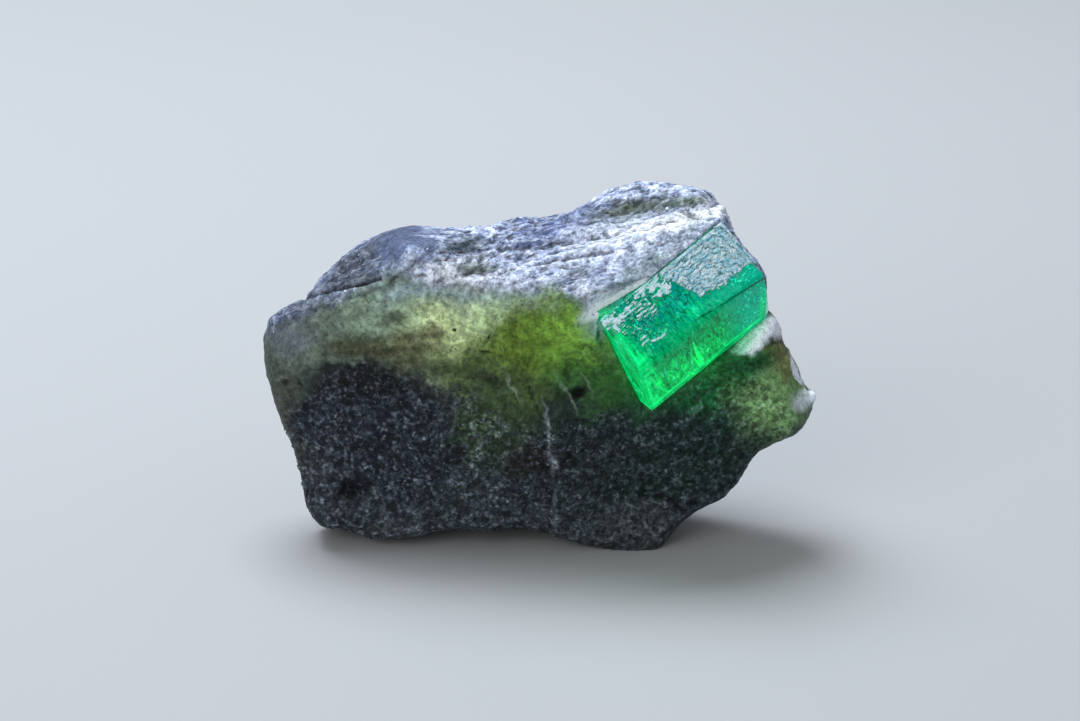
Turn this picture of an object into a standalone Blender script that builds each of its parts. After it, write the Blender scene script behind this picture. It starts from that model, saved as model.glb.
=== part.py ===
"""An emerald crystal in its piece of matrix: a stubby six-sided prism of beryl, sunk in a lump of pale rock.

Frame: metres, +Z up, +X along the lump's longest side, the crystal on the -Y side. The origin lies on the
resting plane, under the middle of the lump's bounding box.

The lump is star-shaped about a point inside it. A subdivided cube is blown out along rays from that point
until each vertex meets the surface that stone_field() describes: an outline with rounded rims, cut by fracture
planes and roughened by smooth noise. The crystal is a prism with a broken end, and its socket is cut from the
lump.
"""

import math

import bmesh
import bpy
import numpy as np
from mathutils import Matrix, Vector, noise

MM = 0.001

# The outline's plane leans back by this much: it is the lump as seen from the front and a little above.
LEAN = math.radians(18.0)

# Corners of the lump's outline in that plane, in mm: (to the right of the middle, up the plane from the
# lowest corner), clockwise from the left end.
OUTLINE = (
    (-23.9, 19.0), (-23.6, 20.2), (-21.6, 21.5), (-20.3, 22.3), (-18.5, 24.7), (-16.7, 26.5), (-14.4, 28.0),
    (-12.0, 28.6), (-10.3, 28.8), (-9.0, 28.4), (-6.2, 28.4), (-4.2, 28.6), (-2.6, 29.1), (0.4, 29.3),
    (2.0, 29.6), (4.0, 30.6), (5.8, 31.7), (7.4, 32.4), (9.2, 32.7), (10.6, 32.5), (11.8, 32.1), (14.4, 31.8),
    (15.8, 30.9), (16.5, 28.6), (17.5, 26.9), (18.8, 25.8), (19.5, 24.2), (19.6, 21.3), (20.7, 20.0),
    (21.0, 18.6), (22.2, 16.4), (22.9, 14.4), (23.7, 14.3), (24.0, 13.4), (23.4, 12.0), (22.2, 10.7),
    (19.5, 9.7), (18.4, 8.6), (17.3, 6.8), (15.8, 4.9), (14.2, 4.3), (12.6, 3.2), (11.5, 1.9), (10.7, 0.5),
    (9.7, 0.0), (7.3, 0.3), (5.2, 0.8), (3.2, 1.1), (1.6, 1.8), (-1.0, 2.4), (-3.2, 2.5), (-4.6, 2.1),
    (-7.2, 2.5), (-9.3, 2.0), (-11.4, 1.5), (-13.5, 1.5), (-15.7, 1.8), (-16.9, 2.5), (-18.5, 2.1),
    (-19.7, 3.1), (-20.5, 5.6), (-20.7, 7.3), (-21.2, 9.2), (-22.3, 11.6), (-23.2, 14.4), (-23.8, 17.0),
)

# The point from which the lump is blown out, in mm: across, up the outline's plane, and back from it.
CORE = (-0.8, 15.6, -4.0)

# Where the outline's plane meets the resting plane, in mm: the lowest corner stands this far up the plane.
FOOT_UP = -1.9

# Where the rim stands back from the core, in mm, at angles in degrees round the outline from its right end.
RIM = (
    (-170, -0.6), (-128, 2.2), (-95, -0.6), (-58, -3.0), (-25, -2.2), (0, -2.4), (32, 0.4), (65, 2.4),
    (100, 1.6), (128, 1.8), (150, 0.4),
)

# Depth of the lump in front of its rim and behind it, in mm, and how square the section is.
FRONT_DEPTH = 14.5
BACK_DEPTH = 14.0
SECTION_POWER = 3.0

# Fracture planes in the outline's frame, in mm: a point on the plane (across, up, back) and its outward
# direction.
FRONT = (
    ((-12.0, 14.0, -9.4), (-0.20, -0.26, -1.0)),
    ((-1.0, 14.0, -10.8), (-0.06, -0.42, -1.0)),
    ((10.0, 12.0, -9.5), (0.10, -0.45, -1.0)),
    ((-2.0, 3.0, -8.6), (-0.05, -0.70, -1.0)),
    ((-22.2, 14.0, -7.4), (-1.0, -0.16, -0.7)),
    ((20.6, 18.0, -9.4), (1.0, 0.1, -0.8)),
    ((20.2, 12.0, -9.8), (0.45, -0.10, -1.0)),
)
TOP_LEFT = (
    ((-14.3, 24.0, -11.2), (-1.21, 2.2, -1.0)),
    ((-1.0, 23.7, -14.0), (0.24, 1.5, -1.0)),
)
TOP_RIGHT = (
    ((5.3, 22.0, -14.9), (-0.25, 0.62, -1.0)),
    ((10.5, 29.6, -10.7), (-0.62, 2.0, -1.0)),
)
BACK = (
    ((0.0, 30.4, 3.2), (0.02, 0.8, 1.0)),
    ((-12.0, 14.0, 5.6), (-0.45, -0.05, 1.0)),
    ((11.0, 14.0, 6.0), (0.5, 0.1, 1.0)),
    ((2.0, 5.0, 6.0), (0.05, -0.55, 1.0)),
)

# How broadly neighbouring fractures are worn into each other, and the waviness of them all, in mm.
FRACTURE_BLEND = 0.9
WAVE_SIZE = 5.5
WAVE_HEIGHT = 0.55

# Cells along each side of the cube that is blown out into the lump.
STONE_CELLS = 23

# Swells and hollows of the front, in mm: middle (across, up), reach (across, up) and height.
SWELLS = (
    ((-10.8, 26.6), (3.6, 1.6), 1.0),
    ((8.6, 30.4), (3.4, 0.7), -0.7),
    ((-13.0, 12.5), (4.5, 4.0), -0.5),
    ((-4.0, 25.8), (4.0, 0.9), -0.6),
)

# The crystal's middle in the outline's frame, in mm, the climb of its axis to the right and how far that end
# leans away from the front.
PRISM_MIDDLE = (12.3, 22.0, -10.1)
PRISM_CLIMB = math.radians(38.9)
PRISM_RECEDE = math.radians(9.0)

# Width of one prism face, depth lost at each long edge, and the turn of the first face up from the front.
PRISM_SIDE = 5.6
PRISM_EDGE_WEAR = 0.08
PRISM_TURN = math.radians(5.6)

# End faces and chips in the crystal's frame, in mm: a point on the plane (along, up, out) and its outward
# direction.
PRISM_ENDS = (
    ((-7.7, -2.3, 5.0), (-1.0, 0.14, 0.0)),
    ((5.9, -2.3, 5.0), (1.0, 0.10, -0.04)),
    ((5.9, -2.3, 5.0), (1.0, -0.22, 0.03)),
)
PRISM_CHIPS = (
    ((5.3, 2.9, 4.4), (1.0, 0.9, 0.7)),
    ((5.0, -5.0, 0.9), (1.0, -1.3, 0.5)),
)

# Clearance of the socket about the crystal, and how far it opens through the lump where the crystal shows,
# in mm.
SOCKET_GAP = 0.3
SOCKET_OPENING = 5.0


def smooth_max(a, b, width):
    """The larger of two distances, blended over the given width so that their meeting edge is worn."""
    overlap = np.clip(width - np.abs(a - b), 0.0, None) / width
    return np.maximum(a, b) + overlap * overlap * width * 0.25


def round_curve(knots, angle):
    """A periodic cubic through (angle, value) knots in radians that never overshoots them."""
    turns, values = np.array(sorted(knots)).T
    turns = np.concatenate((turns[-2:] - 2 * np.pi, turns, turns[:2] + 2 * np.pi))
    values = np.concatenate((values[-2:], values, values[:2]))
    rises = np.diff(values) / np.diff(turns)
    before, after = rises[:-1], rises[1:]
    level = before * after <= 0
    slopes = np.zeros(len(values))
    slopes[1:-1] = np.where(level, 0.0, 2 * before * after / np.where(level, 1.0, before + after))
    place = np.clip(np.searchsorted(turns, angle) - 1, 0, len(turns) - 2)
    step = turns[place + 1] - turns[place]
    t = (angle - turns[place]) / step
    return (
        (2 * t**3 - 3 * t**2 + 1) * values[place]
        + (t**3 - 2 * t**2 + t) * step * slopes[place]
        + (-2 * t**3 + 3 * t**2) * values[place + 1]
        + (t**3 - t**2) * step * slopes[place + 1]
    )


def rim_knots():
    """The outline's reach from the core and the rim's depth, each as (angle, value) knots."""
    corners = [(across - CORE[0], up - CORE[1]) for across, up in OUTLINE]
    reach = [(math.atan2(up, across), math.hypot(across, up)) for across, up in corners]
    return reach, [(math.radians(angle), back) for angle, back in RIM]


def rough(points, size, seed):
    """Smooth noise of about one unit at points in mm, with features of the given size in mm."""
    shift = Vector((seed * 17.3, seed * -9.1, seed * 5.7))
    return np.array([noise.noise(Vector(p) / size + shift) for p in points])


def cut_by(planes, points, wobble):
    """How far points lie outside the worn solid that the planes bound, in mm."""
    field = np.full(len(points), -99.0)
    for at, way in planes:
        outward = np.array(way) / np.linalg.norm(way)
        field = smooth_max(field, (points - np.array(at)) @ outward + wobble, FRACTURE_BLEND)
    return field


def stone_field(points, wobble):
    """Signed distance, roughly in mm, from the stone's skin: negative inside. Points are (across, up, back)."""
    across, up, back = (points - CORE).T
    angle = np.arctan2(up, across)
    outline, rim = rim_knots()
    from_rim = back - round_curve(rim, angle)
    depth = np.where(from_rim > 0, BACK_DEPTH, FRONT_DEPTH)
    reach = (np.hypot(across, up) / round_curve(outline, angle)) ** SECTION_POWER
    reach = (reach + (np.abs(from_rim) / depth) ** SECTION_POWER) ** (1 / SECTION_POWER)
    field = (reach - 1.0) * 12.0
    for (at_across, at_up), (wide, tall), height in SWELLS:
        near = ((points[:, 0] - at_across) / wide) ** 2 + ((points[:, 1] - at_up) / tall) ** 2
        wobble = wobble - height * np.exp(-near) * (from_rim < 0)
    for planes in (FRONT, BACK):
        field = smooth_max(field, cut_by(planes, points, wobble), FRACTURE_BLEND)
    top_left = cut_by(TOP_LEFT, points, wobble)
    top_right = cut_by(TOP_RIGHT, points, wobble)
    return smooth_max(field, -smooth_max(-top_left, -top_right, FRACTURE_BLEND), FRACTURE_BLEND)


def skin_distance(rays, wobble):
    """How far along each ray from the core the stone's skin lies, in mm."""
    inner = np.full(len(rays), 1.0)
    outer = np.full(len(rays), 40.0)
    for _ in range(40):
        middle = (inner + outer) / 2
        outside = stone_field(CORE + rays * middle[:, None], wobble) > 0
        outer = np.where(outside, middle, outer)
        inner = np.where(outside, inner, middle)
    return inner


def split_quads(skin):
    """Splits each of the skin's cells in two along the diagonal that keeps closer to the stone's surface."""
    points = np.array([vertex.co[:] for vertex in skin.verts])
    cells = [[vertex.index for vertex in face.verts] for face in skin.faces]
    misses = []
    for first in (0, 1):
        middles = np.array([(points[cell[first]] + points[cell[first + 2]]) / 2 for cell in cells])
        misses.append(np.abs(stone_field(middles, WAVE_HEIGHT * rough(middles, WAVE_SIZE, 1))))
    for face, miss, other_miss in zip(skin.faces[:], *misses):
        first = 0 if miss < other_miss else 1
        bmesh.utils.face_split(face, face.verts[first], face.verts[first + 2])


def blown_stone():
    """The stone's skin as a bmesh in the outline's frame: a cube's grid of cells blown out from the core."""
    skin = bmesh.new()
    bmesh.ops.create_cube(skin, size=2.0)
    bmesh.ops.subdivide_edges(skin, edges=skin.edges[:], cuts=STONE_CELLS - 1, use_grid_fill=True)
    cube = np.array([v.co[:] for v in skin.verts])
    second = cube[:, [1, 2, 0]] ** 2
    third = cube[:, [2, 0, 1]] ** 2
    ball = cube * np.sqrt(1 - second / 2 - third / 2 + second * third / 3)
    rays = ball * np.array((23.0, 14.0, 11.0))
    rays /= np.linalg.norm(rays, axis=1)[:, None]
    smooth = CORE + rays * skin_distance(rays, np.zeros(len(rays)))[:, None]
    wavy = CORE + rays * skin_distance(rays, WAVE_HEIGHT * rough(smooth, WAVE_SIZE, 1))[:, None]
    for vertex, point in zip(skin.verts, wavy):
        vertex.co = point
    split_quads(skin)
    return skin


def cut_solid(solid, at, outward):
    """Cuts away the part of a solid outside a plane and closes the cut with one face."""
    whole = solid.verts[:] + solid.edges[:] + solid.faces[:]
    bmesh.ops.bisect_plane(solid, geom=whole, plane_co=at, plane_no=outward, clear_outer=True)
    rim = [edge for edge in solid.edges if edge.is_boundary]
    bmesh.ops.holes_fill(solid, edges=rim)


def prism(clearance, opening):
    """The crystal in its own frame in mm, grown by a clearance and, on the sides that show, by an opening."""
    solid = bmesh.new()
    bmesh.ops.create_cube(solid, size=60.0)
    for side in range(6):
        turn = PRISM_TURN + side * math.pi / 3
        outward = Vector((0, math.sin(turn), math.cos(turn)))
        shows = side in (0, 5)
        away = PRISM_SIDE * math.cos(math.pi / 6) + (opening if shows else clearance)
        cut_solid(solid, outward * away, outward)
        corner = turn + math.pi / 6
        outward = Vector((0, math.sin(corner), math.cos(corner)))
        if not opening:
            cut_solid(solid, outward * (PRISM_SIDE - PRISM_EDGE_WEAR), outward)
    for at, way in PRISM_ENDS:
        outward = Vector(way).normalized()
        shows = outward.x > 0 and outward.y < 0
        cut_solid(solid, Vector(at) + outward * (opening if shows else clearance), outward)
    if not opening:
        for at, way in PRISM_CHIPS:
            cut_solid(solid, at, way)
    return solid


def prism_to_outline():
    """The matrix from the crystal's frame to the outline's frame."""
    flat = Vector((math.cos(PRISM_CLIMB), math.sin(PRISM_CLIMB), 0.0))
    up = Vector((-math.sin(PRISM_CLIMB), math.cos(PRISM_CLIMB), 0.0))
    back = Vector((0.0, 0.0, 1.0))
    along = flat * math.cos(PRISM_RECEDE) + back * math.sin(PRISM_RECEDE)
    out = flat * math.sin(PRISM_RECEDE) - back * math.cos(PRISM_RECEDE)
    return Matrix.Translation(PRISM_MIDDLE) @ Matrix((along, up, out)).transposed().to_4x4()


def outline_to_resting():
    """The matrix from the outline's frame to one standing on the resting plane, both in mm."""
    lean = Matrix((
        (1, 0, 0),
        (0, math.sin(LEAN), math.cos(LEAN)),
        (0, math.cos(LEAN), -math.sin(LEAN)),
    ))
    return lean.to_4x4() @ Matrix.Translation((0, FOOT_UP, 0))


def material(name, colour, roughness):
    """A plain stone material."""
    stone = bpy.data.materials.new(name)
    stone.use_nodes = True
    shader = stone.node_tree.nodes["Principled BSDF"]
    shader.inputs["Base Color"].default_value = (*colour, 1.0)
    shader.inputs["Roughness"].default_value = roughness
    shader.inputs["Metallic"].default_value = 0.0
    return stone


def solid_object(name, solid, finish=None):
    """Links a bmesh into the scene as a named object and frees it."""
    bmesh.ops.recalc_face_normals(solid, faces=solid.faces[:])
    mesh = bpy.data.meshes.new(name)
    solid.to_mesh(mesh)
    solid.free()
    thing = bpy.data.objects.new(name, mesh)
    bpy.context.scene.collection.objects.link(thing)
    if finish:
        mesh.materials.append(finish)
    return thing


def clear_scene():
    """Removes the startup scene's objects."""
    for thing in list(bpy.data.objects):
        bpy.data.objects.remove(thing)


def build():
    """Builds the lump with its socket, and the crystal in it."""
    clear_scene()
    stone = blown_stone()
    crystal = prism(0.0, 0.0)
    socket = prism(SOCKET_GAP, SOCKET_OPENING)
    stone.transform(outline_to_resting())
    crystal.transform(outline_to_resting() @ prism_to_outline())
    socket.transform(outline_to_resting() @ prism_to_outline())
    bmesh.ops.recalc_face_normals(stone, faces=stone.faces[:])
    cut_solid(stone, (0, 0, 0), (0, 0, -1))

    corners = [vertex.co for solid in (stone, crystal) for vertex in solid.verts]
    middle_x = (min(c.x for c in corners) + max(c.x for c in corners)) / 2
    middle_y = (min(c.y for c in corners) + max(c.y for c in corners)) / 2
    to_origin = Matrix.Scale(MM, 4) @ Matrix.Translation((-middle_x, -middle_y, 0))
    for solid in (stone, crystal, socket):
        solid.transform(to_origin)

    rock = solid_object("matrix_rock", stone, material("pale_rock", (0.25, 0.29, 0.31), 0.6))
    solid_object("emerald_crystal", crystal, material("emerald", (0.02, 0.36, 0.17), 0.2))
    cutter = solid_object("socket_cutter", socket)
    cutter.hide_render = True
    cutter.display_type = "WIRE"
    cut = rock.modifiers.new("socket", "BOOLEAN")
    cut.operation = "DIFFERENCE"
    cut.solver = "EXACT"
    cut.object = cutter


build()
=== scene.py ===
"""An emerald crystal in its lump of matrix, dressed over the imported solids.

Front space, in mm, is used throughout: X across, Y back and Z up, leaned back by 18 degrees. It is how the
lump is seen from the front and a little above. Crystal space, in mm, has X along the prism, Y up it and Z out
of it.
"""

import logging
import math
from dataclasses import dataclass
from enum import Enum

import bmesh
import bpy
import numpy as np
from bpy.types import Material, Mesh, Node, NodeTree, Object
from bpy.types import NodeSocket as Socket
from mathutils import Matrix, Vector, noise


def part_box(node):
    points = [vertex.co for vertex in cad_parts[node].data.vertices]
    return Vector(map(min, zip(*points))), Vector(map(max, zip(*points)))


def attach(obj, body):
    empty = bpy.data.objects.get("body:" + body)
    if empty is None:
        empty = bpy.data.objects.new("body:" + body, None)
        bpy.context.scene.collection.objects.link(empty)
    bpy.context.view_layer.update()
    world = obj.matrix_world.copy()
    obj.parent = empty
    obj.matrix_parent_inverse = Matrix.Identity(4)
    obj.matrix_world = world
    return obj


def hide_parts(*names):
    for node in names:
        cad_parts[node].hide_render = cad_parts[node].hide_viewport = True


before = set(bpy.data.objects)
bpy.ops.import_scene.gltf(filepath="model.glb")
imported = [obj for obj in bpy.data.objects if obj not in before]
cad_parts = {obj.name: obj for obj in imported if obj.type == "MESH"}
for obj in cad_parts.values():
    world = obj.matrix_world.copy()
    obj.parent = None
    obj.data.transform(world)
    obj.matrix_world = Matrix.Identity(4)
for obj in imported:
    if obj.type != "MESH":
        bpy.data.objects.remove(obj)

LOG = logging.getLogger("emerald_in_matrix")
MM = 0.001
# How far front space leans back, and how steeply the rock's layers climb to the right in it.
LEAN = math.radians(18.0)
LAYER_CLIMB = math.radians(17.0)
# Where crystal space starts in front space, how steeply it climbs, and how far its right end turns back.
CRYSTAL_MIDDLE = (12.3, -12.325, 19.377)
CRYSTAL_CLIMB = math.radians(38.9)
CRYSTAL_RECESS = math.radians(9.0)
# How far the prism's faces are from its middle line, where its upper edge is up it and out of it, all in mm,
# and how far the face beyond that edge is turned about the prism.
FACE_REACH = 4.85
UPPER_EDGE = (3.26, 4.56)
TOP_FACE_TURN = math.radians(65.6)
# How far each seed moves the noise, and how its finer layers weaken and shrink.
NOISE_SHIFT = (13.7, -7.9, 5.3)
NOISE_FALL = 0.9
NOISE_STEP = 2.1
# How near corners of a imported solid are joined, in mm, and the cross product of two edges, in square metres,
# under which a triangle is too thin to have a plane.
JOINED = 0.002
FLAT = 1e-12

Colour = tuple[float, float, float]
Point = tuple[float, float, float]
Array = np.ndarray


def paint(red: float, green: float, blue: float) -> Colour:
    """A colour given as 0 to 255 display values, as the linear values that shaders take.

    Args:
        red: Display red.
        green: Display green.
        blue: Display blue.

    Returns:
        The linear colour.
    """
    display = np.array((red, green, blue)) / 255.0
    linear = np.where(display <= 0.04045, display / 12.92, ((display + 0.055) / 1.055) ** 2.4)
    return tuple(float(value) for value in linear)


def rise(values: Array, low: float, high: float) -> Array:
    """A smooth step from 0 at low to 1 at high; low may be the larger.

    Args:
        values: Where to take the step.
        low: The value at which it is 0.
        high: The value at which it is 1.

    Returns:
        The step's height at each value.
    """
    share = np.clip((values - low) / (high - low), 0.0, 1.0)
    return share * share * (3.0 - 2.0 * share)


def ripple(points: Array, size: Point | float, seed: int, octaves: int = 3) -> Array:
    """Smooth fractal noise of about one unit.

    Args:
        points: Where to take it, in mm, one row each.
        size: Its features' size in mm, the same all ways or one for each axis.
        seed: Which noise it is.
        octaves: How many finer layers it has.

    Returns:
        The noise at each point.
    """
    shift = Vector([seed * step for step in NOISE_SHIFT])
    scaled = points / np.array(size)
    return np.array([noise.fractal(Vector(p) + shift, NOISE_FALL, NOISE_STEP, octaves) for p in scaled])


def lumps(points: Array, size: float) -> Array:
    """How far each point is from the middle of its rounded lump, of about one unit.

    Args:
        points: Where to take it, in mm, one row each.
        size: The lumps' spacing in mm.

    Returns:
        The distances.
    """
    return np.array([noise.voronoi(Vector(p))[0][0] for p in points / size])


class Space:
    """A frame in mm with a matrix to the metres that every mesh is made in."""

    def __init__(self, to_metres: Matrix) -> None:
        """Keeps the matrix as numbers, both ways.

        Args:
            to_metres: The matrix from this space to metres.
        """
        self.matrix = to_metres
        self.forth = np.array(to_metres)
        self.back = np.linalg.inv(self.forth)

    def metres(self, points: Array) -> Array:
        """Points of this space in metres."""
        return points @ self.forth[:3, :3].T + self.forth[:3, 3]

    def local(self, points: Array) -> Array:
        """Points in metres in this space."""
        return points @ self.back[:3, :3].T + self.back[:3, 3]


def crystal_matrix() -> Matrix:
    """The matrix from crystal space to front space.

    Returns:
        The matrix, in mm.
    """
    flat = Vector((math.cos(CRYSTAL_CLIMB), 0.0, math.sin(CRYSTAL_CLIMB)))
    up = Vector((-math.sin(CRYSTAL_CLIMB), 0.0, math.cos(CRYSTAL_CLIMB)))
    back = Vector((0.0, 1.0, 0.0))
    along = flat * math.cos(CRYSTAL_RECESS) + back * math.sin(CRYSTAL_RECESS)
    out = flat * math.sin(CRYSTAL_RECESS) - back * math.cos(CRYSTAL_RECESS)
    return Matrix.Translation(CRYSTAL_MIDDLE) @ Matrix((along, up, out)).transposed().to_4x4()


FRONT = Space(Matrix.Scale(MM, 4) @ Matrix.Rotation(-LEAN, 4, "X"))
CRYSTAL = Space(FRONT.matrix @ crystal_matrix())


def numbers(items: bpy.types.bpy_prop_collection, name: str, wide: int, kind: type) -> Array:
    """A property of every item.

    Args:
        items: The items.
        name: The property.
        wide: How many numbers it has.
        kind: Their type.

    Returns:
        The numbers, one row for each item.
    """
    flat = np.empty(len(items) * wide, dtype=kind)
    items.foreach_get(name, flat)
    return flat.reshape(-1, wide)


def coordinates(mesh: Mesh) -> Array:
    """The places of a mesh's vertices in metres, one row each."""
    return numbers(mesh.vertices, "co", 3, np.float64)


def normals(mesh: Mesh) -> Array:
    """A mesh's vertex normals, one row each."""
    return numbers(mesh.vertex_normals, "vector", 3, np.float32).astype(np.float64)


class Neighbours:
    """Which vertices of a mesh share an edge, for averaging over them."""

    def __init__(self, mesh: Mesh) -> None:
        """Reads the mesh's edges."""
        self.ends = numbers(mesh.edges, "vertices", 2, np.int32)
        self.count = np.bincount(self.ends.ravel(), minlength=len(mesh.vertices))[:, None]

    def mean(self, values: Array) -> Array:
        """The mean of each vertex's neighbours.

        Args:
            values: The values, one row for each vertex.

        Returns:
            The means, one row each.
        """
        total = np.zeros_like(values)
        np.add.at(total, self.ends[:, 0], values[self.ends[:, 1]])
        np.add.at(total, self.ends[:, 1], values[self.ends[:, 0]])
        return total / self.count


def move_to(mesh: Mesh, points: Array) -> None:
    """Puts a mesh's vertices at points in metres."""
    mesh.vertices.foreach_set("co", points.astype(np.float32).ravel())
    mesh.update()


def keep(mesh: Mesh, name: str, values: Array) -> None:
    """Stores one number for each vertex as a named attribute."""
    layer = mesh.attributes.new(name, "FLOAT", "POINT")
    layer.data.foreach_set("value", np.clip(values, 0.0, 1.0).astype(np.float32))


def to_mesh(solid: bmesh.types.BMesh, name: str) -> Mesh:
    """A new mesh of a BMesh, which is used up.

    Args:
        solid: The BMesh.
        name: The mesh's name.

    Returns:
        The mesh.
    """
    mesh = bpy.data.meshes.new(name)
    solid.to_mesh(mesh)
    solid.free()
    return mesh


def linked(name: str, data: bpy.types.ID) -> Object:
    """A new object in the scene.

    Args:
        name: Its name.
        data: Its mesh, light or camera.

    Returns:
        The object.
    """
    made = bpy.data.objects.new(name, data)
    bpy.context.scene.collection.objects.link(made)
    return made


def evaluated(holder: Object) -> Mesh:
    """An object's mesh with its modifiers applied."""
    ready = holder.evaluated_get(bpy.context.evaluated_depsgraph_get())
    return bpy.data.meshes.new_from_object(ready)


def place(mesh: Mesh, name: str, finish: Material, smooth: bool = True) -> Object:
    """Links a mesh as a named object with one finish.

    Args:
        mesh: The mesh, in metres in the row frame.
        name: The piece's name.
        finish: Its material.
        smooth: Whether its faces are shaded smooth.

    Returns:
        The new object.
    """
    mesh.name = name
    mesh.materials.clear()
    mesh.materials.append(finish)
    mesh.polygons.foreach_set("use_smooth", [smooth] * len(mesh.polygons))
    return linked(name, mesh)


def merged_copy(node: str) -> Mesh:
    """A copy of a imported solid's mesh with its loose triangles joined.

    Args:
        node: The solid's node.

    Returns:
        The copy.
    """
    solid = bmesh.new()
    solid.from_mesh(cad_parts[node].data)
    bmesh.ops.remove_doubles(solid, verts=solid.verts, dist=JOINED * MM)
    return to_mesh(solid, node)


def through_modifier(mesh: Mesh, kind: str, **settings: object) -> Mesh:
    """A mesh after one modifier.

    Args:
        mesh: The mesh, which is used up.
        kind: The modifier's type.
        **settings: Its properties.

    Returns:
        The new mesh.
    """
    holder = linked("holder", mesh)
    modifier = holder.modifiers.new("step", kind)
    for name, value in settings.items():
        setattr(modifier, name, value)
    result = evaluated(holder)
    bpy.data.objects.remove(holder)
    bpy.data.meshes.remove(mesh)
    return result


def remeshed(mesh: Mesh, cell: float) -> Mesh:
    """A mesh, which is used up, made anew of cells of a size in mm."""
    return through_modifier(mesh, "REMESH", mode="VOXEL", voxel_size=cell * MM, adaptivity=0.0)


class Prism:
    """The crystal's solid as its outward planes, for measuring how far points are from it."""

    def __init__(self, mesh: Mesh) -> None:
        """Reads the planes off a convex mesh.

        Args:
            mesh: The mesh.
        """
        points = coordinates(mesh)
        found: dict[tuple, tuple[Array, float]] = {}
        for face in mesh.polygons:
            a, b, c = (points[index] for index in face.vertices[:3])
            outward = np.cross(b - a, c - a)
            size = np.linalg.norm(outward)
            if size > FLAT:
                outward = outward / size
                key = tuple(np.round(outward, 2)) + (round(float(a @ outward) / MM, 1),)
                found.setdefault(key, (outward, float(a @ outward)))
        self.outward = np.array([plane[0] for plane in found.values()])
        self.reach = np.array([plane[1] for plane in found.values()])

    def distance(self, points: Array) -> tuple[Array, Array]:
        """How far points are outside the solid.

        Args:
            points: The points in metres.

        Returns:
            How far each is outside, in mm, and the outward way from the solid there.
        """
        gaps = points @ self.outward.T - self.reach
        nearest = gaps.argmax(axis=1)
        return gaps[np.arange(len(points)), nearest] / MM, self.outward[nearest]

    def second(self, points: Array) -> Array:
        """How far points of the surface are inside the next plane, in mm: how near they are to an edge."""
        gaps = np.sort(points @ self.outward.T - self.reach, axis=1)
        return -gaps[:, -2] / MM


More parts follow.
